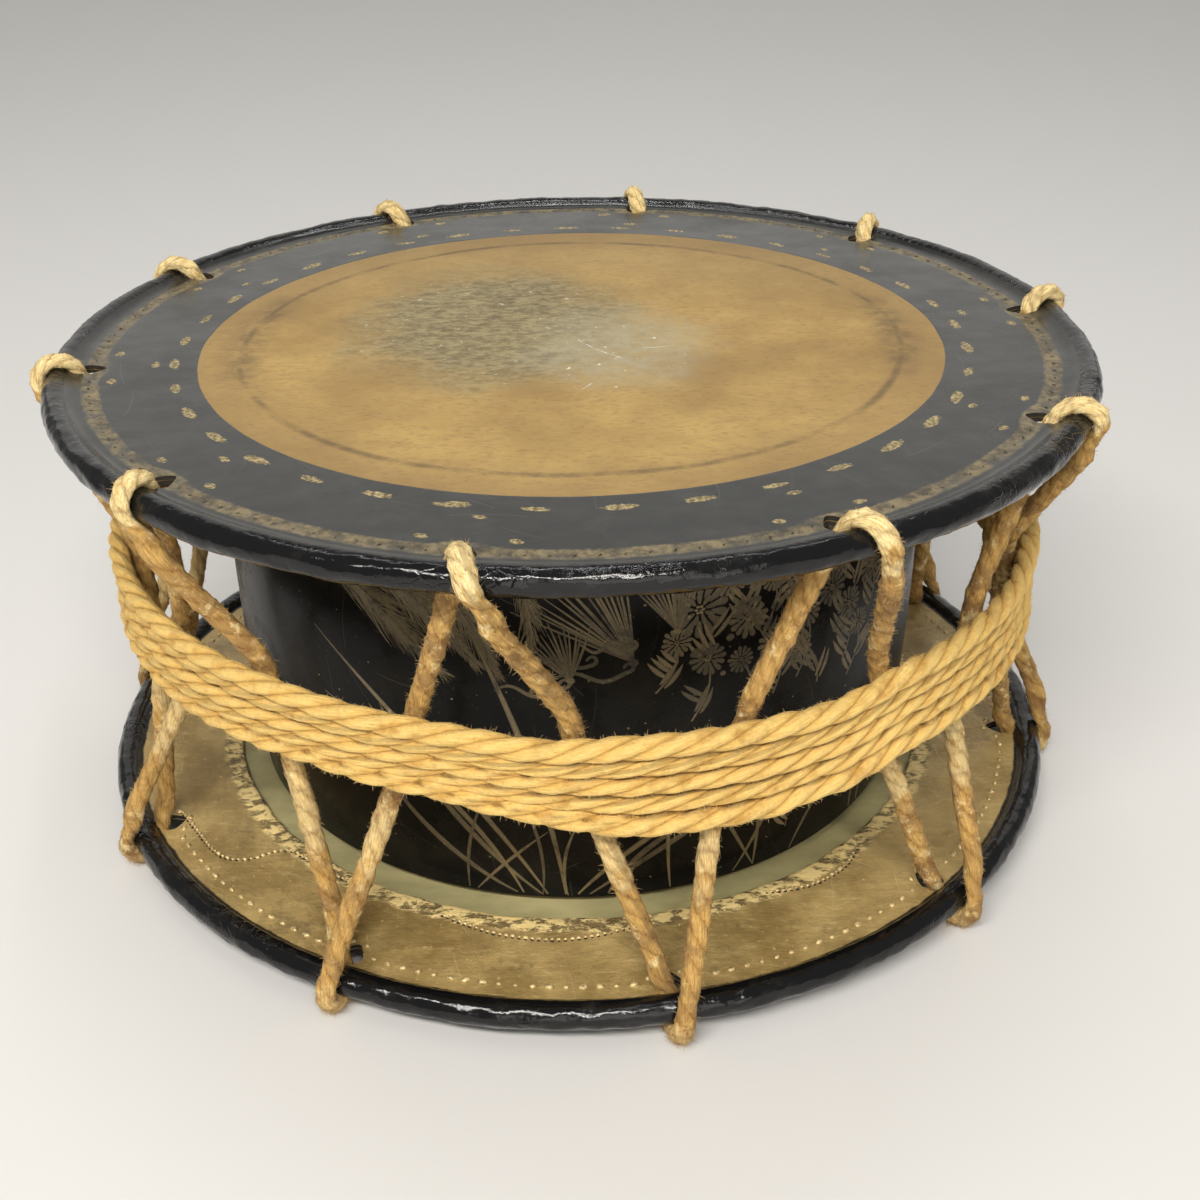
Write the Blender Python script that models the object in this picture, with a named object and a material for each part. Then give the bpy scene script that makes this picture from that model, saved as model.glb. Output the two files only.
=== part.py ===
"""Shime-daiko, a Japanese rope drum: two hide heads on iron rings, laced over a turned wooden body.

Metres, +Z up. The drum stands on the loops of its lacing at z = 0, with its axis on the Z axis.
Azimuths are in degrees round Z from +X, counter-clockwise from above, so the front is at 270.
"""
import math

import bmesh
import bpy
import numpy as np
from mathutils import Vector

for old_object in list(bpy.data.objects):
    bpy.data.objects.remove(old_object, do_unlink=True)

# Gaps that keep touching pieces apart
CLEARANCE = 0.0003
ROPE_CLEARANCE = 0.0005

# Heads: a hide rolled over an iron ring and turned back inside as a hem
HEAD_RADIUS = 0.175
HIDE_THICKNESS = 0.0013
ROD_RADIUS = 0.0028
ROLL_RISE = 0.0027
ROLL_FILLET = 0.0015
HEM_BODY_GAP = 0.0092
HEAD_SEGMENTS = 60
ROLL_STEPS = 7
POCKET_STEPS = 8
ROD_SIDES = 6

# Body: turned and hollowed wood, a little fuller at the middle
BODY_HEIGHT = 0.1471
BODY_MID_RADIUS = 0.1222
BODY_END_RADIUS = 0.1198
BODY_BORE_RADIUS = 0.100
EDGE_CREST_RADIUS = 0.1115
EDGE_OUTER_DROP = 0.0026
EDGE_INNER_DROP = 0.0045
BODY_SEGMENTS = 60
BARREL_STEPS = 4

# Lacing: one rope through ten holes in each head
LACE_COUNT = 10
LACE_RADIUS = 0.0035
HOLE_SLACK = 0.0018
HOLE_WALL = 0.00005
HOLE_SIDES = 10
LACE_AZIMUTH = 7.5
LACE_WAIST_RADIUS = 0.1526
LACE_LOOP_STEPS = 8
LACE_BEND = 0.004
LACE_BAND_MARGIN = 0.0015
STAND_CUT = 0.0007
# Where the rope is along its zigzag, as shares of the angle from one lace to the next
TOP_LOOP_OUT = 0.062
DOWN_AT_BAND_TOP = 0.264
DOWN_AT_BAND_FOOT = 0.342
LOW_LOOP_IN = 0.550
LOW_LOOP_OUT = 0.565
UP_AT_BAND_FOOT = 0.700
UP_AT_BAND_TOP = 0.822

# Waist rope: wound round the lacing, a little above mid-height
WAIST_TURNS = 5
WAIST_RADIUS = 0.0032
WAIST_ROW_GAP = 0.00055
WAIST_RISE = 0.0040
WAIST_POINTS_PER_TURN = 36
WAIST_KNOT_AZIMUTH = 97.0
WAIST_END_SWEEP = 34.0
WAIST_END_POINTS = 11
WAIST_CLIMB_SHARE = 0.6
WAIST_DRAW_IN_SHARE = 0.65

# Knots where the rope ends are tied, at the back
KNOT_COILS = 3
LACE_KNOT_RADIUS = 0.009
WAIST_KNOT_RADIUS = 0.008
KNOT_GROOVE = 0.0011
KNOT_SEGMENTS = 12
KNOT_COIL_STEPS = 4
LACE_KNOT_PLACE = 0.5
FIRST_LACE = 2

# Thread that closes the hem beside the roll, in a line that passes inside each lacing hole
SEAM_INSET = 0.0148
SEAM_WIDTH = 0.0009
SEAM_HEIGHT = 0.0006
SEAM_MARGIN = 0.0013
SEAM_DETOUR = 0.0095
SEAM_POINTS_PER_HOLE = 8

# Worked out from the sizes above
POCKET_RADIUS = ROD_RADIUS + CLEARANCE
ROLL_RADIUS = POCKET_RADIUS + HIDE_THICKNESS
RING_RADIUS = HEAD_RADIUS - ROLL_RADIUS
RING_DEPTH = ROLL_RADIUS - ROLL_RISE
HEM_TOP = -HIDE_THICKNESS - CLEARANCE
HEM_FACE = HEM_TOP - HIDE_THICKNESS
HEM_INNER_RADIUS = BODY_END_RADIUS + HEM_BODY_GAP
SEAM_CIRCLE_RADIUS = HEAD_RADIUS - SEAM_INSET
LOOP_RADIUS = ROLL_RADIUS + ROPE_CLEARANCE + LACE_RADIUS
HOLE_RADIUS = LACE_RADIUS + HOLE_SLACK
HOLE_CIRCLE_RADIUS = RING_RADIUS - ROLL_RADIUS - HOLE_WALL - HOLE_RADIUS
LOW_RING_HEIGHT = LOOP_RADIUS + LACE_RADIUS - STAND_CUT
LOW_FACE_HEIGHT = LOW_RING_HEIGHT - RING_DEPTH
BODY_FOOT_HEIGHT = LOW_FACE_HEIGHT + HIDE_THICKNESS + CLEARANCE
BODY_TOP_HEIGHT = BODY_FOOT_HEIGHT + BODY_HEIGHT
TOP_FACE_HEIGHT = BODY_TOP_HEIGHT + CLEARANCE + HIDE_THICKNESS
TOP_RING_HEIGHT = TOP_FACE_HEIGHT - RING_DEPTH
LACE_PITCH = 360 / LACE_COUNT
WAIST_HEIGHT = (LOW_RING_HEIGHT + TOP_RING_HEIGHT) / 2 + WAIST_RISE
WAIST_PITCH = 2 * WAIST_RADIUS + WAIST_ROW_GAP
BAND_HALF_HEIGHT = (WAIST_TURNS - 1) / 2 * WAIST_PITCH + WAIST_RADIUS
BAND_TOP = WAIST_HEIGHT + BAND_HALF_HEIGHT + LACE_BAND_MARGIN
BAND_FOOT = WAIST_HEIGHT - BAND_HALF_HEIGHT - LACE_BAND_MARGIN
WAIST_SAG = 1 / math.cos(math.pi / WAIST_POINTS_PER_TURN)
WAIST_COIL_RADIUS = (LACE_WAIST_RADIUS + LACE_RADIUS + CLEARANCE + WAIST_RADIUS) * WAIST_SAG
WAIST_KNOT_DISTANCE = WAIST_COIL_RADIUS + WAIST_RADIUS + CLEARANCE + WAIST_KNOT_RADIUS


def material(name, colour, roughness, metallic=0.0):
    """Return a new Principled material."""
    new = bpy.data.materials.new(name)
    new.use_nodes = True
    shader = new.node_tree.nodes["Principled BSDF"]
    shader.inputs["Base Color"].default_value = (*colour, 1.0)
    shader.inputs["Roughness"].default_value = roughness
    shader.inputs["Metallic"].default_value = metallic
    new.diffuse_color = (*colour, 1.0)
    return new


def add_object(name, data, finish):
    """Link an object of this data, with its finish."""
    new = bpy.data.objects.new(name, data)
    bpy.context.scene.collection.objects.link(new)
    data.materials.append(finish)
    return new


def finished_mesh(name, shape, smooth_angle=30.0):
    """Turn a bmesh into a mesh with outward faces and smooth shading up to an angle."""
    bmesh.ops.remove_doubles(shape, verts=shape.verts, dist=1e-7)
    bmesh.ops.recalc_face_normals(shape, faces=shape.faces)
    mesh = bpy.data.meshes.new(name)
    shape.to_mesh(mesh)
    shape.free()
    mesh.shade_smooth()
    mesh.set_sharp_from_angle(angle=math.radians(smooth_angle))
    return mesh


def turned_mesh(name, outline, segments):
    """Spin an outline of (radius, height) points round Z; it starts and ends on the axis, or closes."""
    shape = bmesh.new()
    verts = [shape.verts.new((radius, 0.0, height)) for radius, height in outline]
    pairs = list(zip(verts, verts[1:]))
    if outline[0][0] > 0:
        pairs.append((verts[-1], verts[0]))
    edges = [shape.edges.new(pair) for pair in pairs]
    bmesh.ops.spin(
        shape, geom=verts + edges, cent=(0, 0, 0), axis=(0, 0, 1),
        angle=2 * math.pi, steps=segments, use_merge=True,
    )
    return finished_mesh(name, shape)


def arc_points(centre, radius, start, stop, steps):
    """Return points on an arc in the (radius, height) plane, angles in degrees."""
    angles = [math.radians(start + (stop - start) * i / steps) for i in range(steps + 1)]
    return [(centre[0] + radius * math.cos(a), centre[1] + radius * math.sin(a)) for a in angles]


def polar(radius, azimuth, height):
    """Return the point at a radius and an azimuth in degrees."""
    angle = math.radians(azimuth)
    return Vector((radius * math.cos(angle), radius * math.sin(angle), height))


def fillet_angles(face, side):
    """Return the fillet centre and the roll angle where a flat face meets the roll.

    The face is a height from the ring centre, and side is 1 above it or -1 below it.
    """
    rise = face + side * ROLL_FILLET
    reach = ROLL_RADIUS + ROLL_FILLET
    run = math.sqrt(reach ** 2 - rise ** 2)
    centre = (RING_RADIUS - run, rise - RING_DEPTH)
    return centre, math.degrees(math.atan2(rise, -run))


def head_outline():
    """Return the section of a head: its face, the roll, the hem and the pocket for the iron ring."""
    ring = (RING_RADIUS, -RING_DEPTH)
    face_fillet, face_angle = fillet_angles(RING_DEPTH, 1)
    hem_fillet, hem_angle = fillet_angles(HEM_FACE + RING_DEPTH, -1)
    slit_upper = math.degrees(math.asin((RING_DEPTH - HIDE_THICKNESS) / POCKET_RADIUS))
    slit_lower = math.degrees(math.asin((RING_DEPTH + HEM_TOP) / POCKET_RADIUS))
    outline = [(0.0, 0.0)]
    outline += arc_points(face_fillet, ROLL_FILLET, 270, 180 + face_angle, 2)[:-1]
    outline += arc_points(ring, ROLL_RADIUS, face_angle, hem_angle, ROLL_STEPS)
    outline += arc_points(hem_fillet, ROLL_FILLET, 180 + hem_angle, 90, 2)[1:]
    outline += [(HEM_INNER_RADIUS, HEM_FACE), (HEM_INNER_RADIUS, HEM_TOP)]
    outline += arc_points(ring, POCKET_RADIUS, -180 - slit_lower, 180 - slit_upper, POCKET_STEPS)
    outline += [(0.0, -HIDE_THICKNESS)]
    return outline


def hole_cutters(name, azimuths):
    """Return one mesh of upright cylinders, one at each hole."""
    shape = bmesh.new()
    reach = 4 * (HIDE_THICKNESS + ROLL_RADIUS)
    corner_radius = HOLE_RADIUS / math.cos(math.pi / HOLE_SIDES)
    for azimuth in azimuths:
        made = bmesh.ops.create_cone(
            shape, cap_ends=True, segments=HOLE_SIDES, depth=reach,
            radius1=corner_radius, radius2=corner_radius,
        )
        bmesh.ops.translate(shape, verts=made["verts"], vec=polar(HOLE_CIRCLE_RADIUS, azimuth, 0))
    return finished_mesh(name, shape)


def turn_over(item):
    """Turn an object over, so that its local azimuths run the other way."""
    item.rotation_euler = (math.pi, 0.0, 0.0)


def make_head(prefix, height, hole_azimuth, upside_down, finish):
    """Make one head hide with its lacing holes."""
    azimuths = [hole_azimuth + LACE_PITCH * i for i in range(LACE_COUNT)]
    hide = add_object(f"{prefix}_head_hide", turned_mesh("head", head_outline(), HEAD_SEGMENTS), finish)
    holes = add_object(f"{prefix}_hole_cutters", hole_cutters("holes", azimuths), finish)
    holes.hide_render = True
    holes.display_type = "WIRE"
    for item in (hide, holes):
        item.location.z = height
        if upside_down:
            turn_over(item)
    cut = hide.modifiers.new("Lacing holes", "BOOLEAN")
    cut.operation = "DIFFERENCE"
    cut.solver = "EXACT"
    cut.object = holes


def make_iron_ring(prefix, height, finish):
    """Make the round iron rod inside a roll."""
    section = arc_points((RING_RADIUS, 0.0), ROD_RADIUS, 0, 360, ROD_SIDES)[:-1]
    ring = add_object(f"{prefix}_iron_ring", turned_mesh("ring", section, HEAD_SEGMENTS), finish)
    ring.location.z = height


def seam_radius(past_hole):
    """Return the seam's radius, this many degrees past a lacing hole: it passes inside each hole."""
    apart = min(past_hole, LACE_PITCH - past_hole)
    share = min(apart / math.degrees(SEAM_DETOUR / SEAM_CIRCLE_RADIUS), 1.0)
    inside_hole = min(HOLE_CIRCLE_RADIUS - HOLE_RADIUS - SEAM_MARGIN, SEAM_CIRCLE_RADIUS)
    return SEAM_CIRCLE_RADIUS - (SEAM_CIRCLE_RADIUS - inside_hole) * (1 + math.cos(math.pi * share)) / 2


def seam_turns():
    """Return the angles past a hole where the seam has a point: close ones beside the hole."""
    detour = math.degrees(SEAM_DETOUR / SEAM_CIRCLE_RADIUS)
    half = SEAM_POINTS_PER_HOLE // 2
    close = [detour * i / (half - 1) for i in range(half)]
    far = [detour + (LACE_PITCH - 2 * detour) * i / half for i in range(1, half)]
    return close + far + [LACE_PITCH - turned for turned in reversed(close[1:])]


def make_seam(prefix, height, hole_azimuth, upside_down, finish):
    """Make the thread that lies round one hem, a low ridge of three sides."""
    base = HEM_FACE - CLEARANCE
    shape = bmesh.new()
    rings = []
    for hole in range(LACE_COUNT):
        for turned in seam_turns():
            azimuth = hole_azimuth + LACE_PITCH * hole + turned
            radius = seam_radius(turned)
            corners = (
                polar(radius - SEAM_WIDTH / 2, azimuth, base),
                polar(radius + SEAM_WIDTH / 2, azimuth, base),
                polar(radius, azimuth, base - SEAM_HEIGHT),
            )
            rings.append([shape.verts.new(corner) for corner in corners])
    for ring, following in zip(rings, rings[1:] + rings[:1]):
        for i in range(3):
            j = (i + 1) % 3
            shape.faces.new((ring[i], ring[j], following[j], following[i]))
    seam = add_object(f"{prefix}_seam_thread", finished_mesh("seam", shape), finish)
    seam.location.z = height
    if upside_down:
        turn_over(seam)


def body_outline():
    """Return the section of the body wall, from its foot."""
    top = BODY_HEIGHT
    shoulder = EDGE_OUTER_DROP
    outline = [
        (BODY_BORE_RADIUS, EDGE_INNER_DROP),
        (EDGE_CREST_RADIUS - EDGE_INNER_DROP / 2, EDGE_INNER_DROP / 8),
        (EDGE_CREST_RADIUS, 0.0),
        ((EDGE_CREST_RADIUS + BODY_END_RADIUS) / 2, shoulder / 4),
    ]
    for i in range(BARREL_STEPS + 1):
        share = i / BARREL_STEPS
        swell = (BODY_MID_RADIUS - BODY_END_RADIUS) * math.sin(math.pi * share)
        outline.append((BODY_END_RADIUS + swell, shoulder + (top - 2 * shoulder) * share))
    outline += [(radius, top - height) for radius, height in reversed(outline[:4])]
    return outline


def make_body(finish):
    """Make the hollow wooden body."""
    body = add_object("body_shell", turned_mesh("body", body_outline(), BODY_SEGMENTS), finish)
    body.location.z = BODY_FOOT_HEIGHT


def loop_angles(ring_height, band_edge):
    """Return the angles round a ring where the rope meets and leaves its loop, inner side first."""
    run = LACE_WAIST_RADIUS - RING_RADIUS
    rise = band_edge - ring_height
    spread = math.degrees(math.acos(LOOP_RADIUS / math.hypot(run, rise)))
    middle = math.degrees(math.atan2(rise, run)) % 360
    if rise < 0:
        return middle - spread, middle + spread - 360
    return middle + spread, middle - spread + 360


def loop_points(ring_height, band_edge, start_azimuth, stop_azimuth):
    """Return the rope's points over one roll, from the inner side to the outer side."""
    inner, outer = loop_angles(ring_height, band_edge)
    section = arc_points((RING_RADIUS, ring_height), LOOP_RADIUS, inner, outer, LACE_LOOP_STEPS)
    step = (stop_azimuth - start_azimuth) / LACE_LOOP_STEPS
    return [polar(radius, start_azimuth + step * i, height) for i, (radius, height) in enumerate(section)]


def rounded_corner(before, corner, after):
    """Return three points that ease the rope round a corner."""
    first = corner + (before - corner).normalized() * LACE_BEND
    last = corner + (after - corner).normalized() * LACE_BEND
    return [first, (first + last) / 4 + corner / 2, last]


def lace(number):
    """Return one lace's points: its rise to the top hole, its top loop, its fall and its low loop."""
    start = LACE_AZIMUTH + LACE_PITCH * number
    out, low_in, low_out = (start + LACE_PITCH * share for share in (TOP_LOOP_OUT, LOW_LOOP_IN, LOW_LOOP_OUT))
    rise = [
        polar(LACE_WAIST_RADIUS, start + LACE_PITCH * (UP_AT_BAND_FOOT - 1), BAND_FOOT),
        polar(LACE_WAIST_RADIUS, start + LACE_PITCH * (UP_AT_BAND_TOP - 1), BAND_TOP),
    ]
    fall = [
        polar(LACE_WAIST_RADIUS, start + LACE_PITCH * DOWN_AT_BAND_TOP, BAND_TOP),
        polar(LACE_WAIST_RADIUS, start + LACE_PITCH * DOWN_AT_BAND_FOOT, BAND_FOOT),
    ]
    top = loop_points(TOP_RING_HEIGHT, BAND_TOP, start, out)
    low = loop_points(LOW_RING_HEIGHT, BAND_FOOT, low_in, low_out)
    return rise, top, fall, low


def azimuth_at(start, stop, height):
    """Return the azimuth where the rope between two points passes a height."""
    place = start.lerp(stop, (height - start.z) / (stop.z - start.z))
    return math.degrees(math.atan2(place.y, place.x))


def hole_azimuths():
    """Return the azimuths of the first top and low holes, where the rope passes the outer faces."""
    rise, top, fall, low = lace(0)
    top_hole = azimuth_at(rise[1], top[0], TOP_FACE_HEIGHT)
    low_hole = azimuth_at(fall[1], low[0], LOW_FACE_HEIGHT)
    return top_hole, low_hole


def lacing_route():
    """Return the rope's centre line from hole to hole, and the middle and direction of its knot."""
    rise, top, fall, low = lace(FIRST_LACE)
    way_up = (top[0] - rise[1]).normalized()
    knot = rise[1].lerp(top[0], LACE_KNOT_PLACE)
    knot_gap = way_up * (knot_length(LACE_RADIUS) / 2 + CLEARANCE)
    route = [knot + knot_gap]
    for number in range(FIRST_LACE, FIRST_LACE + LACE_COUNT):
        next_rise, next_top = lace(number + 1)[:2]
        route += top
        route += rounded_corner(top[-1], fall[0], fall[1])
        route += rounded_corner(fall[0], fall[1], low[0])
        route += low
        route += rounded_corner(low[-1], next_rise[0], next_rise[1])
        route += rounded_corner(next_rise[0], next_rise[1], next_top[0])
        rise, top, fall, low = lace(number + 1)
    route.append(knot - knot_gap)
    return route, knot, way_up


def ease(share):
    """Return a smooth step from 0 to 1."""
    share = min(max(share, 0.0), 1.0)
    return share * share * (3 - 2 * share)


def waist_point(turned):
    """Return a point of the waist rope, this many degrees past its knot."""
    whole = 360 * WAIST_TURNS
    from_end = min(turned, whole - turned) / WAIST_END_SWEEP
    climb = ease(from_end / WAIST_CLIMB_SHARE)
    draw_in = ease((from_end - 1) / WAIST_DRAW_IN_SHARE + 1)
    height = WAIST_HEIGHT + climb * WAIST_PITCH * WAIST_TURNS * (0.5 - turned / whole)
    radius = WAIST_KNOT_DISTANCE + (WAIST_COIL_RADIUS - WAIST_KNOT_DISTANCE) * draw_in
    return polar(radius, WAIST_KNOT_AZIMUTH + turned, height)


def waist_route():
    """Return the waist rope's centre line, from one side of its knot round to the other."""
    whole = 360 * WAIST_TURNS
    knot = polar(WAIST_KNOT_DISTANCE, WAIST_KNOT_AZIMUTH, WAIST_HEIGHT)
    tangent = polar(1.0, WAIST_KNOT_AZIMUTH + 90, 0.0)
    face = knot_length(WAIST_RADIUS) / 2 + CLEARANCE
    straight = face + 2 * WAIST_RADIUS
    first_turn = math.degrees(2 * straight / WAIST_KNOT_DISTANCE)
    steps = WAIST_END_POINTS
    ends = [first_turn + (WAIST_END_SWEEP - first_turn) * i / steps for i in range(steps)]
    count = round((whole - 2 * WAIST_END_SWEEP) * WAIST_POINTS_PER_TURN / 360)
    middle = [WAIST_END_SWEEP + (whole - 2 * WAIST_END_SWEEP) * i / count for i in range(count + 1)]
    turns = ends + middle + [whole - turned for turned in reversed(ends)]
    route = [knot + tangent * face, knot + tangent * straight]
    route += [waist_point(turned) for turned in turns]
    route += [knot - tangent * straight, knot - tangent * face]
    return route, knot, tangent


def print_least_gap(name, route, radius):
    """Print the least gap of a wound rope to itself, past its own bends."""
    points = np.array(route)
    pieces = [
        start + (stop - start) * share
        for start, stop in zip(points, points[1:])
        for share in np.arange(0.0, 1.0, 0.1)
    ]
    pieces = np.array(pieces)
    travel = np.concatenate([[0.0], np.cumsum(np.linalg.norm(np.diff(pieces, axis=0), axis=1))])
    least = math.inf
    for i, piece in enumerate(pieces):
        apart = travel - travel[i] > 10 * radius
        if apart.any():
            least = min(least, np.linalg.norm(pieces[apart] - piece, axis=1).min())
    print(f"{name}: least gap to itself {1000 * (least - 2 * radius):.2f} mm")


def rope_curve(name, route, radius):
    """Return a round, capped tube along a route."""
    curve = bpy.data.curves.new(name, "CURVE")
    curve.dimensions = "3D"
    curve.bevel_depth = radius
    curve.bevel_resolution = 1
    curve.use_fill_caps = True
    spline = curve.splines.new("POLY")
    spline.points.add(len(route) - 1)
    for point, place in zip(spline.points, route):
        point.co = (*place, 1.0)
    return curve


def rope_mesh(name, route, radius):
    """Return the tube along a route as a mesh."""
    carrier = bpy.data.objects.new(name, rope_curve(name, route, radius))
    bpy.context.scene.collection.objects.link(carrier)
    mesh = bpy.data.meshes.new_from_object(carrier.evaluated_get(bpy.context.evaluated_depsgraph_get()))
    bpy.data.objects.remove(carrier, do_unlink=True)
    shape = bmesh.new()
    shape.from_mesh(mesh)
    return finished_mesh(name, shape, smooth_angle=70.0)


def knot_length(rope_radius):
    """Return the length of a knot of coils of this rope."""
    return KNOT_COILS * 2 * rope_radius


def make_knot(name, middle, direction, knot_radius, rope_radius, finish):
    """Make a barrel knot: coils drawn up side by side round the rope's ends."""
    half = knot_length(rope_radius) / 2
    outline = [(0.0, -half)]
    for coil in range(KNOT_COILS):
        for i in range(KNOT_COIL_STEPS + 1):
            share = i / KNOT_COIL_STEPS
            radius = knot_radius - KNOT_GROOVE * (1 - math.sin(math.pi * share))
            outline.append((radius, -half + 2 * rope_radius * (coil + share)))
    outline.append((0.0, half))
    knot = add_object(name, turned_mesh(name, outline, KNOT_SEGMENTS), finish)
    knot.location = middle
    knot.rotation_mode = "QUATERNION"
    knot.rotation_quaternion = direction.to_track_quat("Z", "Y")


def make_lacing(finish):
    """Make the lacing rope, cut flat where the drum stands on its loops, and its knot."""
    route, knot, way_up = lacing_route()
    print_least_gap("lacing_rope", route, LACE_RADIUS)
    lacing = add_object("lacing_rope", rope_mesh("lacing_rope", route, LACE_RADIUS), finish)
    block = bmesh.new()
    bmesh.ops.create_cube(block, size=1.0)
    bmesh.ops.scale(block, verts=block.verts, vec=(3 * HEAD_RADIUS, 3 * HEAD_RADIUS, HEAD_RADIUS))
    bmesh.ops.translate(block, verts=block.verts, vec=(0, 0, -HEAD_RADIUS / 2))
    floor = add_object("stand_cutter", finished_mesh("stand_cutter", block), finish)
    floor.hide_render = True
    floor.display_type = "WIRE"
    cut = lacing.modifiers.new("Flat feet", "BOOLEAN")
    cut.operation = "DIFFERENCE"
    cut.solver = "EXACT"
    cut.object = floor
    make_knot("lacing_knot", knot, way_up, LACE_KNOT_RADIUS, LACE_RADIUS, finish)


def make_waist_rope(finish):
    """Make the waist rope as one unbroken winding, and its knot."""
    route, knot, tangent = waist_route()
    print_least_gap("waist_rope", route, WAIST_RADIUS)
    add_object("waist_rope", rope_mesh("waist_rope", route, WAIST_RADIUS), finish)
    make_knot("waist_knot", knot, tangent, WAIST_KNOT_RADIUS, WAIST_RADIUS, finish)


hide_finish = material("lacquered_hide", (0.035, 0.033, 0.032), 0.3)
iron_finish = material("forged_iron", (0.10, 0.09, 0.085), 0.6, 1.0)
body_finish = material("black_lacquered_wood", (0.012, 0.011, 0.011), 0.18)
lace_finish = material("hemp_lacing", (0.50, 0.29, 0.11), 0.9)
waist_finish = material("straw_coloured_rope", (0.68, 0.43, 0.17), 0.9)
thread_finish = material("gilded_thread", (0.42, 0.30, 0.12), 0.6)

top_hole, low_hole = hole_azimuths()
make_body(body_finish)
make_head("upper", TOP_FACE_HEIGHT, top_hole, False, hide_finish)
make_head("lower", LOW_FACE_HEIGHT, -low_hole, True, hide_finish)
make_iron_ring("upper", TOP_RING_HEIGHT, iron_finish)
make_iron_ring("lower", LOW_RING_HEIGHT, iron_finish)
make_seam("upper", TOP_FACE_HEIGHT, top_hole, False, thread_finish)
make_seam("lower", LOW_FACE_HEIGHT, -low_hole, True, thread_finish)
make_lacing(lace_finish)
make_waist_rope(waist_finish)
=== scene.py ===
import math
import random

import bmesh
import bpy
import numpy as np
from mathutils import Matrix, Vector, noise


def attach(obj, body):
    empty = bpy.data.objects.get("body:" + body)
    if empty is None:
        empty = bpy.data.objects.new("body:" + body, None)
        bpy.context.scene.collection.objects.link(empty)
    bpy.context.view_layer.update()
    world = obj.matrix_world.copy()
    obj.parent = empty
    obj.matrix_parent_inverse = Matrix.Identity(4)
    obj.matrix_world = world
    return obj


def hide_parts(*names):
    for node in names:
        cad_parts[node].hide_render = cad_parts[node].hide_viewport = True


# Looks of a shime-daiko, a Japanese rope drum: two lacquered hide heads laced over a painted body.
# Metres, +Z up, azimuths in degrees round Z from +X, so that the front of the drum is at 270.

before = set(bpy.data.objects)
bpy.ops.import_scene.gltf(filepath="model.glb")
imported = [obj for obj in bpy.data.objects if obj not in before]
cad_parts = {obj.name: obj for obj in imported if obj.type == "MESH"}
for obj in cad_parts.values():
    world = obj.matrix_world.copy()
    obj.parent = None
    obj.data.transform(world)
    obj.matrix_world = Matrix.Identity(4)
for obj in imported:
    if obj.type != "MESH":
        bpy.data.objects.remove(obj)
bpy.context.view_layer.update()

# Clearances and sizes of the CAD part
CLEARANCE = 0.0003
ROPE_CLEARANCE = 0.0005
HEAD_RADIUS = 0.175
HIDE_THICKNESS = 0.0013
ROD_RADIUS = 0.0028
ROLL_RISE = 0.0027
ROLL_FILLET = 0.0015
BODY_HEIGHT = 0.1471
BODY_MID_RADIUS = 0.1222
BODY_END_RADIUS = 0.1198
BODY_BORE_RADIUS = 0.100
EDGE_CREST_RADIUS = 0.1115
EDGE_OUTER_DROP = 0.0026
EDGE_INNER_DROP = 0.0045
HEM_BODY_GAP = 0.0092
LACE_COUNT = 10
LACE_RADIUS = 0.0035
HOLE_SLACK = 0.0018
HOLE_WALL = 0.00005
LACE_AZIMUTH = 7.5
LACE_WAIST_RADIUS = 0.1526
LACE_LOOP_STEPS = 8
LACE_BEND = 0.004
LACE_BAND_MARGIN = 0.0015
STAND_CUT = 0.0007
TOP_LOOP_OUT = 0.062
DOWN_AT_BAND_TOP = 0.264
DOWN_AT_BAND_FOOT = 0.342
LOW_LOOP_IN = 0.550
LOW_LOOP_OUT = 0.565
UP_AT_BAND_FOOT = 0.700
UP_AT_BAND_TOP = 0.822
WAIST_TURNS = 5
WAIST_RADIUS = 0.0032
WAIST_ROW_GAP = 0.00055
WAIST_RISE = 0.0040
WAIST_POINTS_PER_TURN = 36
WAIST_KNOT_AZIMUTH = 97.0
WAIST_END_SWEEP = 34.0
WAIST_END_POINTS = 11
WAIST_CLIMB_SHARE = 0.6
WAIST_DRAW_IN_SHARE = 0.65
KNOT_COILS = 3
LACE_KNOT_RADIUS = 0.009
WAIST_KNOT_RADIUS = 0.008
LACE_KNOT_PLACE = 0.5
FIRST_LACE = 2
SEAM_INSET = 0.0148
SEAM_MARGIN = 0.0013
SEAM_DETOUR = 0.0095

# Worked out from them, as in the CAD
POCKET_RADIUS = ROD_RADIUS + CLEARANCE
ROLL_RADIUS = POCKET_RADIUS + HIDE_THICKNESS
RING_RADIUS = HEAD_RADIUS - ROLL_RADIUS
RING_DEPTH = ROLL_RADIUS - ROLL_RISE
HEM_TOP = -HIDE_THICKNESS - CLEARANCE
HEM_FACE = HEM_TOP - HIDE_THICKNESS
HEM_INNER_RADIUS = BODY_END_RADIUS + HEM_BODY_GAP
SEAM_CIRCLE_RADIUS = HEAD_RADIUS - SEAM_INSET
LOOP_RADIUS = ROLL_RADIUS + ROPE_CLEARANCE + LACE_RADIUS
HOLE_RADIUS = LACE_RADIUS + HOLE_SLACK
HOLE_CIRCLE_RADIUS = RING_RADIUS - ROLL_RADIUS - HOLE_WALL - HOLE_RADIUS
LOW_RING_HEIGHT = LOOP_RADIUS + LACE_RADIUS - STAND_CUT
LOW_FACE_HEIGHT = LOW_RING_HEIGHT - RING_DEPTH
BODY_FOOT_HEIGHT = LOW_FACE_HEIGHT + HIDE_THICKNESS + CLEARANCE
BODY_TOP_HEIGHT = BODY_FOOT_HEIGHT + BODY_HEIGHT
TOP_FACE_HEIGHT = BODY_TOP_HEIGHT + CLEARANCE + HIDE_THICKNESS
TOP_RING_HEIGHT = TOP_FACE_HEIGHT - RING_DEPTH
BODY_MIDDLE = (LOW_FACE_HEIGHT + TOP_FACE_HEIGHT) / 2
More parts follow.
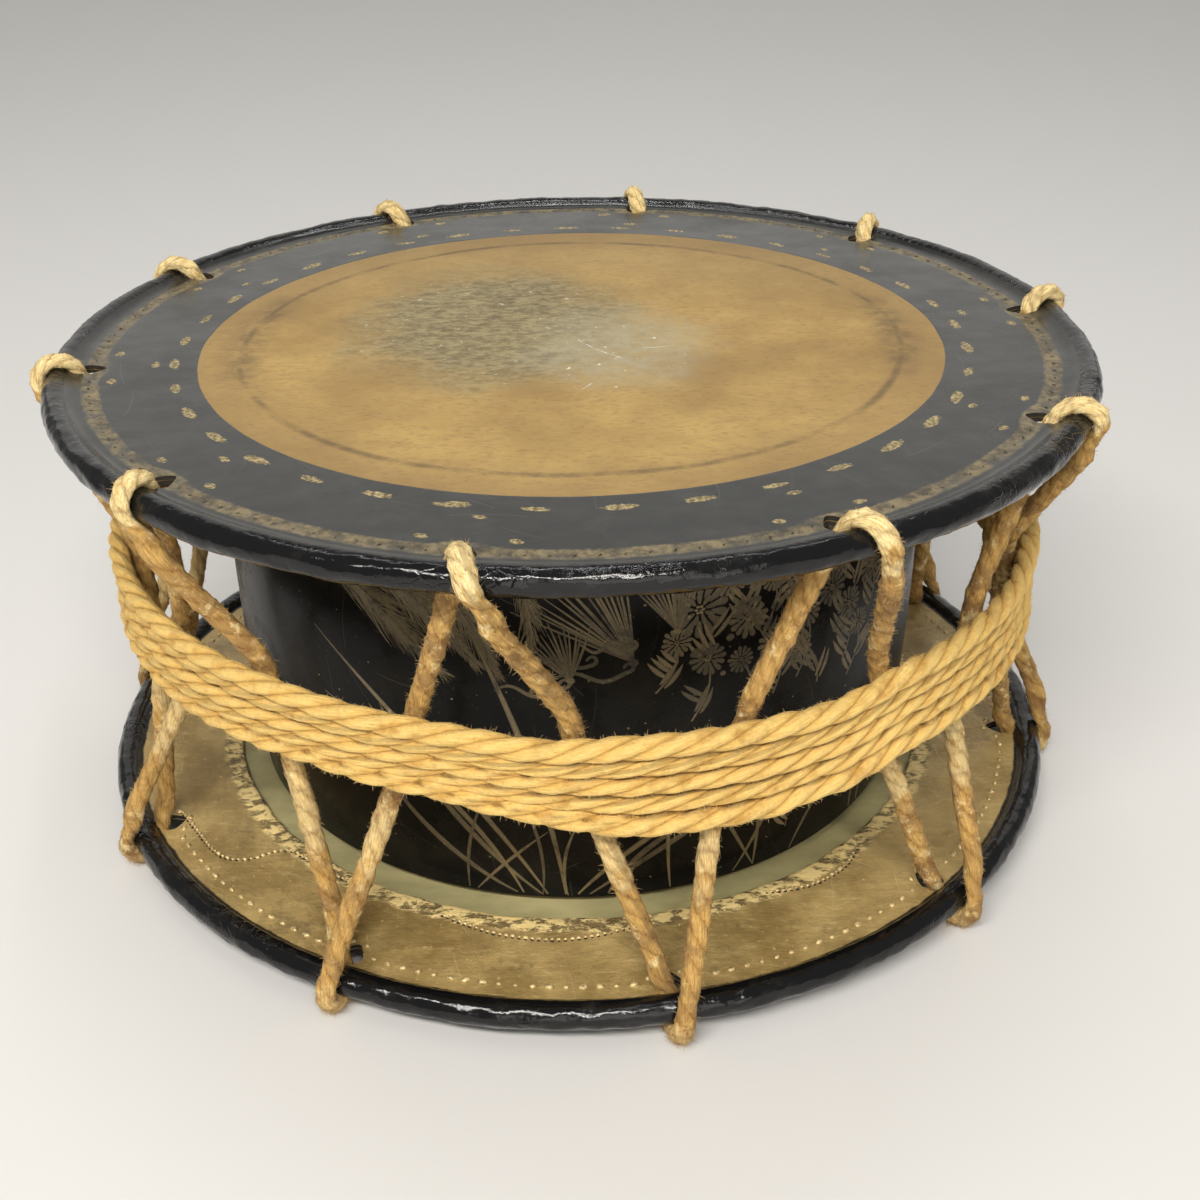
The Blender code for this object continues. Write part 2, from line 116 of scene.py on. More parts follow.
LACE_PITCH = 360 / LACE_COUNT
WAIST_HEIGHT = (LOW_RING_HEIGHT + TOP_RING_HEIGHT) / 2 + WAIST_RISE
WAIST_PITCH = 2 * WAIST_RADIUS + WAIST_ROW_GAP
WAIST_SWEEP = 360 * WAIST_TURNS
BAND_HALF_HEIGHT = (WAIST_TURNS - 1) / 2 * WAIST_PITCH + WAIST_RADIUS
BAND_TOP = WAIST_HEIGHT + BAND_HALF_HEIGHT + LACE_BAND_MARGIN
BAND_FOOT = WAIST_HEIGHT - BAND_HALF_HEIGHT - LACE_BAND_MARGIN
WAIST_SAG = 1 / math.cos(math.pi / WAIST_POINTS_PER_TURN)
WAIST_COIL_RADIUS = (LACE_WAIST_RADIUS + LACE_RADIUS + CLEARANCE + WAIST_RADIUS) * WAIST_SAG
WAIST_KNOT_DISTANCE = WAIST_COIL_RADIUS + WAIST_RADIUS + CLEARANCE + WAIST_KNOT_RADIUS

# Finish of the heads: spots as (radius, count, first azimuth), and those beside the lacing holes
LACQUER_EDGE = 0.1256
GOLD_BAND_INNER = 0.1570
GOLD_BAND_OUTER = 0.1624
FACE_FILLET = 0.0058
FACE_END_GAP = 0.0007
HEAD_TURNS = 720
PRICK_COUNT = 156
HEM_STITCH_COUNT = 196
SPOT_CIRCLE = (0.1333, 37, 265.5)
HOLE_SPOT_RADIUS = 0.1395
SIDE_SPOT_RADIUS = 0.1530
SIDE_SPOT_TURN = 4.8

# Laid ropes
STRANDS = 3
STRAND_SIDES = 10
WAIST_LAY = 0.036
LACE_LAY = 0.021
KNOT_ROPE_RADIUS = 0.0029
ROPE_STEP = 0.0018
ROUTE_STEP = 0.002
PRESS_REACH = 0.011
PRESS_SHARE = 0.38
FOOT_PRESS_SHARE = 0.36
PRESS_DEPTH = 0.0007
LEAST_GAP = 0.00005
FLOOR_GAP = 0.0001
DOWN = Vector((0, 0, -1))


# Nodes

class Value:
    """One output of a node. Arithmetic with it adds maths nodes to its tree."""

    def __init__(self, tree, socket):
        self.tree = tree
        self.socket = socket

    def __add__(self, other):
        return maths("ADD", self, other)

    def __sub__(self, other):
        return maths("SUBTRACT", self, other)

    def __rsub__(self, other):
        return maths("SUBTRACT", other, self)

    def __mul__(self, other):
        return maths("MULTIPLY", self, other)

    def __truediv__(self, other):
        return maths("DIVIDE", self, other)

    def __abs__(self):
        return maths("ABSOLUTE", self)


class Outputs:
    """The outputs of a node, by name or number."""

    def __init__(self, tree, node):
        self.tree = tree
        self.node = node

    def __getitem__(self, key):
        return Value(self.tree, self.node.outputs[key])


def spaced(sockets):
    """Return sockets under their real names, where each underscore stands for a space."""
    return {label.replace("_", " "): value for label, value in sockets.items()}


def fill(tree, node, sockets):
    """Fill a node's inputs with values or links."""
    for name, value in sockets.items():
        socket = node.inputs[name]
        if isinstance(value, Value):
            tree.links.new(value.socket, socket)
        elif socket.type == "RGBA" and len(value) == 3:
            socket.default_value = (*value, 1.0)
        else:
            socket.default_value = value


def put(kind, sockets, tree=None, **settings):
    """Add a node to the tree of its links, or to a given tree, and return its outputs."""
    if tree is None:
        tree = next(value.tree for value in sockets.values() if isinstance(value, Value))
    node = tree.nodes.new(kind)
    for name, value in settings.items():
        setattr(node, name, value)
    fill(tree, node, sockets)
    return Outputs(tree, node)


def maths(operation, *values):
    """Return the result of a maths node."""
    return put("ShaderNodeMath", dict(enumerate(values)), operation=operation)[0]


def vector_maths(operation, *vectors, **sockets):
    """Return the vector that a vector maths node gives."""
    return put("ShaderNodeVectorMath", {**dict(enumerate(vectors)), **sockets}, operation=operation)["Vector"]


def length(vector):
    """Return a vector's length."""
    return put("ShaderNodeVectorMath", {0: vector}, operation="LENGTH")["Value"]


def joined(*numbers):
    """Return a vector of these numbers."""
    return put("ShaderNodeCombineXYZ", dict(enumerate(numbers)))[0]


def parts(vector):
    """Return a vector's three numbers."""
    split = put("ShaderNodeSeparateXYZ", {0: vector})
    return [split[axis] for axis in range(3)]


def either(first, second):
    """Return the stronger of two masks."""
    return maths("MAXIMUM", first, second)


def ramp(value, low, high, to_low=0.0, to_high=1.0):
    """Return a smooth step of a value between two limits."""
    sockets = {"Value": value, "From Min": low, "From Max": high, "To Min": to_low, "To Max": to_high}
    return put("ShaderNodeMapRange", sockets, interpolation_type="SMOOTHSTEP")[0]


def fade(value, low, high):
    """Return a smooth step from 1 down to 0."""
    return ramp(value, low, high, 1.0, 0.0)


def blend(share, first, second):
    """Return the mix of two colours."""
    return put("ShaderNodeMix", {0: share, 6: first, 7: second}, data_type="RGBA")[2]


def layered(colour, *coats):
    """Return a colour under coats, each given as its mask and its colour."""
    for share, coat in coats:
        colour = blend(share, colour, coat)
    return colour


def stretched(place, x, y, z=1.0):
    """Return a place with each axis scaled."""
    return put("ShaderNodeMapping", {"Vector": place, "Scale": (x, y, z)})[0]


def cloud(place, scale, seed, detail=3.0, roughness=0.55):
    """Return smooth noise from 0 to 1."""
    sockets = {"Vector": place, "W": seed, "Scale": scale, "Detail": detail, "Roughness": roughness}
    return put("ShaderNodeTexNoise", sockets, noise_dimensions="4D")["Fac"]


def numbers(*labels):
    """Return sockets with these labels, all plain numbers."""
    return dict.fromkeys(labels, "Float")


def new_group(kind, name, inputs, results):
    """Return a new node group's entry and exit."""
    tree = bpy.data.node_groups.new(name, kind)
    for way, sockets in (("INPUT", inputs), ("OUTPUT", results)):
        for label, sort in sockets.items():
            tree.interface.new_socket(label, in_out=way, socket_type="NodeSocket" + sort)
    return put("NodeGroupInput", {}, tree), tree.nodes.new("NodeGroupOutput")


def give(leave, **results):
    """Link a group's results to its exit, and return the group."""
    fill(leave.id_data, leave, spaced(results))
    return leave.id_data


def use(group, **sockets):
    """Place a shader group and return its outputs."""
    return put("ShaderNodeGroup", spaced(sockets), node_tree=group)


# Effects that several finishes share

def drum_place_group():
    """Give a place's distance from the drum's axis in millimetres and its azimuth in degrees."""
    results = numbers("Radius", "Azimuth")
    enter, leave = new_group("ShaderNodeTree", "Drum place", {"Place": "Vector"}, results)
    x, y = parts(enter["Place"])[:2]
    return give(leave, Radius=length(joined(x, y)) * 1000.0, Azimuth=maths("ARCTAN2", y, x) * (180 / math.pi))


def scratches_group():
    """Draw fine scratches on a plane, at most one in each cell, each with its own way and strength."""
    inputs = {"Place": "Vector", **numbers("Scale", "Length", "Width", "Seed")}
    enter, leave = new_group("ShaderNodeTree", "Scratches", inputs, numbers("Mask"))
    moved = vector_maths("ADD", enter["Place"], joined(enter["Seed"], enter["Seed"]))
    cell = put("ShaderNodeTexVoronoi", {"Vector": moved, "Scale": enter["Scale"]}, voronoi_dimensions="2D")
    x, y = parts(vector_maths("SUBTRACT", moved, cell["Position"]))[:2]
    chance = put("ShaderNodeSeparateColor", {0: cell["Color"]})
    way = chance[0] * (2 * math.pi)
    cosine, sine = maths("COSINE", way), maths("SINE", way)
    along = x * cosine + y * sine
    across = abs(y * cosine - x * sine + along * along * 9.0)
    ends = fade(abs(along) / (enter["Length"] * (chance[1] + 0.25)), 0.5, 1.0)
    return give(leave, Mask=fade(across, 0.0, enter["Width"]) * ends * chance[2])


def gilded_spots_group():
    """Mask a ring of ragged gilded spots. Radii and sizes in millimetres, turns in degrees."""
    inputs = numbers("Radius", "Azimuth", "Circle", "Spacing", "First", "Length", "Width")
    enter, leave = new_group("ShaderNodeTree", "Gilded spots", {"Place": "Vector", **inputs}, numbers("Mask"))
    past = (enter["Azimuth"] - enter["First"]) / enter["Spacing"]
    number = maths("ROUND", past)
    along = (past - number) * enter["Spacing"] * (math.pi / 180) * enter["Circle"]
    chance = put("ShaderNodeTexWhiteNoise", {"W": number}, noise_dimensions="1D")["Value"]
    size = ramp(chance, 0.0, 1.0, 0.82, 1.12)
    out = enter["Radius"] - enter["Circle"] + along * ((chance - 0.5) * 0.25)
    apart = length(joined(along / (enter["Length"] * size), out / (enter["Width"] * size)))
    ragged = cloud(enter["Place"], 520.0, 2.0, 4.0, 0.7) - 0.5
    return give(leave, Mask=fade(apart * 2.0 + ragged * 1.5, 0.82, 1.05))


def fibres_group():
    """Draw the long fibres of a strand from its length and turn, and mask the grooves between strands, where
    the finish paints shade.
    """
    inputs = numbers("Along", "Around", "Proud", "Fineness", "Groove foot", "Groove top", "Seed")
    enter, leave = new_group("ShaderNodeTree", "Rope fibres", inputs, numbers("Fibres", "Groove", "Tone"))
    turn = enter["Around"] * (2 * math.pi)
    travel = enter["Along"] * 210.0
    place = joined(travel, maths("COSINE", turn) * enter["Fineness"], maths("SINE", turn) * enter["Fineness"])
    return give(
        leave, Fibres=cloud(place, 1.0, enter["Seed"], 3.0, 0.65),
        Groove=fade(enter["Proud"], enter["Groove foot"], enter["Groove top"]),
        Tone=cloud(joined(travel, enter["Seed"], 0.0), 0.22, 1.3, 2.0),
    )


def seam_band_group():
    """Mask the gilded band beside the roll, which widens round each lacing hole."""
    inputs = {"Place": "Vector", **numbers("Radius", "Azimuth", "First hole")}
    enter, leave = new_group("ShaderNodeTree", "Seam band", inputs, numbers("Mask"))
    near = fade(maths("PINGPONG", enter["Azimuth"] - enter["First hole"], LACE_PITCH / 2), 1.0, 4.2)
    ragged = cloud(enter["Place"], 420.0, 2.0, 2.0) - 0.5
    radius = enter["Radius"] + ragged * 1.7
    inside = ramp(radius - (1000 * GOLD_BAND_INNER - near * 2.2), -0.6, 0.7)
    outside = fade(radius, 1000 * GOLD_BAND_OUTER - 0.8, 1000 * GOLD_BAND_OUTER + 0.8)
    worn = ramp(cloud(enter["Place"], 120.0, 5.0, 5.0, 0.7), 0.36, 0.58, 0.30, 1.0)
    return give(leave, Mask=inside * outside * worn)


drum_place = drum_place_group()
scratches = scratches_group()
gilded_spots = gilded_spots_group()
rope_fibres = fibres_group()
seam_band = seam_band_group()


# Finishes

class Finish:
    """A new material, its shader and the object's own coordinates."""

    def __init__(self, name, colour, roughness, **constants):
        self.material = bpy.data.materials.new(name)
        self.material.use_nodes = True
        self.material.diffuse_color = (*colour, 1.0)
        self.tree = self.material.node_tree
        self.place = put("ShaderNodeTexCoord", {}, self.tree)["Object"]
        self.feed(Base_Color=colour, Roughness=roughness, **constants)

    def feed(self, **sockets):
        """Fill the shader's inputs."""
        fill(self.tree, self.tree.nodes["Principled BSDF"], spaced(sockets))

    def relief(self, height, distance, strength=1.0):
        """Give the shader a bump from a height of 0 to 1 over this distance."""
        sockets = {"Strength": strength, "Distance": distance, "Height": height}
        self.feed(Normal=put("ShaderNodeBump", sockets)[0])

    def attributes(self, *labels):
        """Return named attributes of the mesh."""
        return [put("ShaderNodeAttribute", {}, self.tree, attribute_name=label)["Fac"] for label in labels]

    def scratched(self, seed, scale, reach, width, place=None):
        """Return a mask of fine scratches."""
        sizes = {"Scale": scale, "Length": reach, "Width": width, "Seed": seed}
        return use(scratches, Place=place or self.place, **sizes)["Mask"]


def oval_mask(place, centre, radii, soft, seed):
    """Mask an oval patch with a ragged edge, centre and radii in millimetres."""
    scale = (1000 / radii[0], 1000 / radii[1], 0.0)
    shift = (-centre[0] / radii[0], -centre[1] / radii[1], 0.0)
    moved = put("ShaderNodeMapping", {"Vector": place, "Location": shift, "Scale": scale})[0]
    ragged = (cloud(place, 45.0, seed, 4.0) - 0.5) * 0.9
    return fade(length(moved) + ragged, 1 - soft, 1 + soft)


def tan_hide_colour(look, radius, worn):
    """Return the playing skin's colour, with its bearing line, grey worn patch and scuffs, and its grain."""
    place = look.place
    streak = cloud(stretched(place, 24.0, 62.0), 2.4, 0.4, 6.0, 0.72)
    grain = cloud(stretched(place, 190.0, 420.0), 2.0, 5.1, 4.0, 0.72)
    fine = cloud(stretched(place, 105.0, 185.0), 2.2, 8.0, 5.0, 0.74)
    patch = oval_mask(place, (-27, 16), (47 * worn, 55 * worn), 0.38, 6.0)
    pale = oval_mask(place, (17, -8), (27 * worn, 33 * worn), 0.5, 9.0)
    mottle = ramp(cloud(place, 150.0, 5.0, 4.0, 0.7), 0.35, 0.65, 0.35, 0.80)
    scuffed = oval_mask(place, (15, -18), (22 * worn, 32 * worn), 0.4, 4.0)
    broken = ramp(cloud(place, 260.0, 2.0, 3.0), 0.40, 0.60, 0.25, 1.0)
    marks = look.scratched(1.0, 42.0, 0.019, 0.00032) * (scuffed * broken)
    flecks = ramp(cloud(place, 300.0, 3.0, 2.0, 0.6), 0.65, 0.72)
    return layered(
        (0.300, 0.188, 0.058),
        (ramp(cloud(place, 19.0, 2.9, 5.0, 0.62), 0.32, 0.66), (0.45, 0.300, 0.097)),
        (ramp(streak, 0.46, 0.68, 0.0, 0.40), (0.30, 0.175, 0.060)),
        (ramp(grain, 0.47, 0.70, 0.0, 0.58), (0.21, 0.125, 0.048)),
        (ramp(parts(place)[1], 0.0, 0.11, 0.0, 0.35), (0.25, 0.175, 0.080)),
        (ramp(radius, 96.0, 125.0, 0.0, 0.40), (0.23, 0.145, 0.060)),
        (patch * 0.86, blend(ramp(fine, 0.36, 0.64), (0.115, 0.100, 0.053), (0.32, 0.266, 0.140))),
        (pale * mottle, (0.375, 0.335, 0.22)),
        (ramp(marks, 0.05, 0.5, 0.0, 0.75), (0.84, 0.82, 0.72)),
        (flecks * either(scuffed, patch * 0.5), (0.80, 0.76, 0.62)),
        (bearing_line(place, radius), (0.110, 0.073, 0.034)),
    ), fine


def bearing_line(place, radius):
    """Mask the grimy ring where the hide bears on the body's edge, broader at both sides."""
    wander = (cloud(place, 14.0, 7.0, 3.0) - 0.5) * 5.0
    apart = abs(radius + wander - 111.8)
    broken = ramp(cloud(place, 55.0, 3.0, 4.0, 0.7), 0.36, 0.62, 0.10, 0.75)
    left = oval_mask(place, (-112, 4), (20, 52), 0.5, 2.0)
    right = oval_mask(place, (113, 2), (15, 40), 0.5, 5.0)
    mottled = ramp(cloud(stretched(place, 95.0, 120.0), 1.0, 3.3, 5.0, 0.7), 0.32, 0.68)
    sides = either(left, right) * fade(apart, 1.0, 10.5) * mottled * 0.75
    return either(fade(apart, 0.2, 2.4) * broken, sides)


def spots_mask(drum, first_hole):
    """Mask all gilded spots of a head: the main ring, and one inward and two beside each lacing hole."""
    circle, count, start = SPOT_CIRCLE
    whole = 0.0
    for radius, spacing, first, reach, width in (
        (circle, 360 / count, start, 9.6, 3.4),
        (HOLE_SPOT_RADIUS, LACE_PITCH, first_hole, 5.6, 2.8),
        (SIDE_SPOT_RADIUS, LACE_PITCH, first_hole - SIDE_SPOT_TURN, 5.0, 3.2),
        (SIDE_SPOT_RADIUS, LACE_PITCH, first_hole + SIDE_SPOT_TURN, 5.0, 3.2),
    ):
        sizes = {"Circle": 1000 * radius, "Spacing": spacing, "First": first, "Length": reach, "Width": width}
        whole = either(whole, use(gilded_spots, **drum, **sizes)["Mask"])
    return whole


def head_face_finish(name, first_hole, worn):
    """Return the finish of a head's outer face: bare skin, black lacquer, gilded spots and seam band."""
    look = Finish(name, (0.43, 0.29, 0.12), 0.4)
    place = look.place
    polar_place = use(drum_place, Place=place)
    radius = polar_place["Radius"]
    drum = {"Place": place, "Radius": radius, "Azimuth": polar_place["Azimuth"]}
    skin, fine = tan_hide_colour(look, radius, worn)
    lacquered = ramp(radius + (cloud(place, 60.0, 1.0, 4.0) - 0.5) * 0.9, 125.45, 125.8)
    black = layered(
        (0.011, 0.0115, 0.011),
        (ramp(cloud(place, 90.0, 4.0, 5.0, 0.7), 0.42, 0.8, 0.0, 0.5), (0.050, 0.047, 0.040)),
        (look.scratched(6.0, 45.0, 0.016, 0.00022) * 0.35, (0.16, 0.15, 0.13)),
    )
    seam = use(seam_band, First_hole=first_hole, **drum)["Mask"]
    spots = spots_mask(drum, first_hole)
    gilded = either(seam, spots)
    worn_gold = ramp(cloud(place, 260.0, 5.0, 5.0, 0.7), 0.36, 0.62)
    flecks = ramp(cloud(place, 800.0, 6.0, 3.0, 0.7), 0.42, 0.60)
    streaky = ramp(cloud(place, 35.0, 6.0, 5.0, 0.6), 0.3, 0.7, 0.13, 0.32)
    look.feed(
        Base_Color=layered(
            skin,
            (lacquered, black),
            (seam * 0.93, blend(worn_gold, (0.085, 0.068, 0.038), (0.285, 0.225, 0.120))),
            (spots * 0.92, blend(flecks, (0.150, 0.110, 0.045), (0.56, 0.44, 0.215))),
        ),
        Roughness=ramp(gilded, 0.0, 1.0, ramp(lacquered, 0.0, 1.0, 0.74, streaky), 0.44),
        Metallic=gilded * 0.35,
    )
    lumps = cloud(place, 110.0, 2.0, 4.0, 0.55)
    look.relief(fine * 0.25 + lumps * 0.9 + spots * flecks * 0.5, 0.00035, 0.45)
    return look.material


def roll_finish(name, seed):
    """Return the glossy black lacquer of a roll, wrinkled and cracked."""
    look = Finish(name, (0.010, 0.010, 0.010), 0.16, Specular_IOR_Level=0.40)
    place = look.place
    cells = {"Vector": place, "Scale": 260.0, "Randomness": 1.0}
    edges = put("ShaderNodeTexVoronoi", cells, feature="DISTANCE_TO_EDGE")["Distance"]
    crack = fade(edges, 0.0, 0.09) * ramp(cloud(place, 24.0, seed + 2, 3.0), 0.50, 0.62)
    dull = ramp(cloud(place, 60.0, seed + 4, 5.0, 0.7), 0.52, 0.72)
    look.feed(
        Base_Color=layered(
            (0.0045, 0.0045, 0.005), (dull * 0.5, (0.030, 0.028, 0.026)), (crack, (0.002, 0.002, 0.002)),
        ),
        Roughness=ramp(dull, 0.0, 1.0, 0.06, 0.30),
    )
    wrinkles = cloud(place, 170.0, seed, 2.0, 0.5)
    look.relief(wrinkles - crack * 0.35 + cloud(place, 640.0, seed + 1, 4.0, 0.6) * 0.30, 0.0009, 0.5)
    return look.material


def hem_finish(name, seed):
    """Return the worn gilding of a hem's face, black beside the roll and flaking at its edge."""
    look = Finish(name, (0.30, 0.20, 0.07), 0.45)
    place = look.place
    radius = use(drum_place, Place=place)["Radius"]
    ragged = cloud(place, 150.0, seed, 5.0, 0.65) - 0.5
    swept = cloud(stretched(place, 60.0, 190.0), 1.5, seed + 8, 4.0, 0.7)
    flakes = ramp(cloud(stretched(place, 1.0, 1.9), 190.0, seed + 4, 5.0, 0.72), 0.41, 0.52)
    edge_place = radius + ragged * 9.0
    edge = fade(edge_place, 133.8, 136.4)
    # A darker band along the hem's inner edge.
    edge_darkening = fade(edge_place, 128.4, 129.2)
    black = ramp(radius + ragged * 2.2, 164.9, 165.7)
    look.feed(
        Base_Color=layered(
            (0.300, 0.202, 0.070),
            (ramp(cloud(place, 30.0, seed + 1, 5.0, 0.65), 0.36, 0.66), (0.550, 0.398, 0.160)),
            (ramp(swept, 0.52, 0.74, 0.0, 0.5), (0.82, 0.62, 0.27)),
            (ramp(cloud(place, 480.0, seed + 2, 3.0, 0.7), 0.60, 0.72) * 0.7, (0.80, 0.62, 0.28)),
            (look.scratched(seed, 70.0, 0.011, 0.0003) * 0.4, (0.80, 0.64, 0.34)),
            (look.scratched(seed + 3, 50.0, 0.018, 0.00035) * 0.25, (0.14, 0.095, 0.040)),
            (ramp(cloud(place, 48.0, seed + 3, 6.0, 0.72), 0.56, 0.70) * 0.6, (0.13, 0.092, 0.045)),
            (edge, blend(flakes, (0.23, 0.160, 0.066), (0.96, 0.74, 0.32))),
            (edge_darkening, (0.075, 0.062, 0.036)),
            (black, (0.008, 0.008, 0.008)),
        ),
        Roughness=ramp(cloud(place, 75.0, seed + 5, 4.0), 0.3, 0.7, 0.26, 0.50),
        Metallic=(1.0 - either(black, edge_darkening)) * 0.16,
    )
    height = cloud(place, 210.0, seed + 6, 5.0, 0.65) + swept * 0.8 + edge * flakes * 1.2
    look.relief(height, 0.0009, 0.8)
    return look.material


def bare_hide_finish():
    """Return the pale greenish inner side of a hide."""
    glow = {"Subsurface_Weight": 0.1, "Subsurface_Radius": (0.004, 0.003, 0.0015)}
    look = Finish("bare_inner_hide", (0.36, 0.33, 0.19), 0.5, **glow)
    streak = cloud(stretched(look.place, 40.0, 90.0, 60.0), 1.0, 2.0, 5.0, 0.6)
    look.feed(Base_Color=layered(
        (0.340, 0.305, 0.150),
        (ramp(streak, 0.3, 0.7), (0.500, 0.448, 0.222)),
        (ramp(cloud(look.place, 30.0, 6.0, 4.0), 0.58, 0.74, 0.0, 0.6), (0.31, 0.235, 0.095)),
    ))
    look.relief(streak, 0.0003, 0.4)
    return look.material


def body_lacquer_finish():
    """Return the body's black lacquer, with dust, dulled patches and hairline scratches."""
    look = Finish("black_body_lacquer", (0.010, 0.009, 0.008), 0.2, Specular_IOR_Level=0.09)
    place = look.place
    dull = ramp(cloud(place, 32.0, 1.0, 5.0, 0.65), 0.42, 0.72)
    x, y, z = parts(place)
    wall = joined(maths("ARCTAN2", y, x) * BODY_MID_RADIUS, z)
    look.feed(
        Base_Color=layered(
            (0.0065, 0.0062, 0.0055),
            (dull, (0.017, 0.015, 0.011)),
            (look.scratched(2.0, 55.0, 0.015, 0.00018, wall) * 0.5, (0.11, 0.10, 0.08)),
            (ramp(cloud(place, 900.0, 7.0, 2.0, 0.6), 0.66, 0.74, 0.0, 0.5), (0.10, 0.09, 0.06)),
        ),
        Roughness=ramp(dull, 0.0, 1.0, 0.24, 0.46),
    )
    look.relief(cloud(place, 70.0, 4.0, 3.0), 0.0004, 0.35)
    return look.material


def raw_wood_finish():
    """Return the bare turned wood of the bore and the bearing edges."""
    look = Finish("raw_turned_wood", (0.30, 0.17, 0.075), 0.6)
    rings = cloud(stretched(look.place, 70.0, 70.0, 5.0), 1.6, 2.0, 5.0, 0.6)
    pores = cloud(stretched(look.place, 900.0, 900.0, 60.0), 1.0, 3.0, 2.0, 0.6)
    look.feed(Base_Color=layered(
        (0.20, 0.105, 0.045),
        (ramp(rings, 0.35, 0.65), (0.37, 0.22, 0.10)),
        (ramp(pores, 0.6, 0.75, 0.0, 0.6), (0.09, 0.045, 0.02)),
    ))
    look.relief(pores, 0.0003, 0.5)
    return look.material


def gold_paint_finish():
    """Return the painting's old powdered gold: silvery to golden by stroke, rubbed thin in places."""
    look = Finish("old_gold_painting", (0.20, 0.16, 0.08), 0.42)
    place = look.place
    tone, along, across = look.attributes("tone", "along", "across")
    brushed = cloud(stretched(joined(along * 60.0, across, tone), 1.0, 7.0, 30.0), 1.4, 1.0, 4.0, 0.65)
    soft = ramp(abs(across), 0.45, 1.0) * ramp(cloud(place, 700.0, 8.0, 3.0, 0.7), 0.35, 0.6, 0.5, 1.0)
    rubbed = either(ramp(cloud(place, 95.0, 4.0, 5.0, 0.7), 0.50, 0.68), soft)
    look.feed(
        Base_Color=layered(
            (0.105, 0.088, 0.052),
            (tone, (0.340, 0.255, 0.125)),
            (ramp(brushed, 0.40, 0.66, 0.0, 0.85), (0.046, 0.038, 0.022)),
            (rubbed * 0.9, (0.011, 0.0095, 0.008)),
            (ramp(cloud(place, 900.0, 2.0, 2.0, 0.6), 0.62, 0.72) * 0.4, (0.50, 0.40, 0.20)),
        ),
        Roughness=ramp(brushed, 0.3, 0.7, 0.34, 0.52),
        Metallic=ramp(rubbed, 0.0, 1.0, 0.25, 0.0),
    )
    look.relief(brushed, 0.0001, 0.5)
    return look.material


def iron_finish():
    """Return forged iron with a dark scale and a little rust."""
    look = Finish("forged_iron_rod", (0.08, 0.07, 0.065), 0.55, Metallic=0.9)
    rust = ramp(cloud(look.place, 180.0, 1.0, 5.0, 0.7), 0.5, 0.68)
    colour = blend(rust, (0.070, 0.066, 0.064), (0.17, 0.065, 0.028))
    look.feed(Base_Color=colour, Roughness=ramp(rust, 0.0, 1.0, 0.42, 0.85))
    look.relief(cloud(look.place, 600.0, 3.0, 3.0), 0.0003, 0.6)
    return look.material


def mottled_finish(name, colour, roughness, shades, grain, limits=(), bump=(), **constants):
    """Return a finish mottled between two shades by one noise, given as in cloud, with its own relief."""
    look = Finish(name, colour, roughness, **constants)
    tone = cloud(look.place, *grain)
    look.feed(Base_Color=blend(ramp(tone, *limits) if limits else tone, *shades))
    if bump:
        look.relief(tone, *bump)
    return look.material


def stitch_finish(name, shades, roughness, metallic, scale):
    """Return the finish of stitches and pricks."""
    grain = (scale, 3.0, 4.0, 0.7)
    return mottled_finish(
        name, shades[1], roughness, shades, grain, (0.36, 0.60), (0.0003, 0.6), Metallic=metallic
    )


def fuzz_finish(name, colour):
    """Return the finish of the loose fibres that stand out of a rope."""
    darker = tuple(0.6 * part for part in colour)
    return mottled_finish(name, colour, 0.9, (darker, colour), (300.0, 1.0, 2.0), Sheen_Weight=0.2)


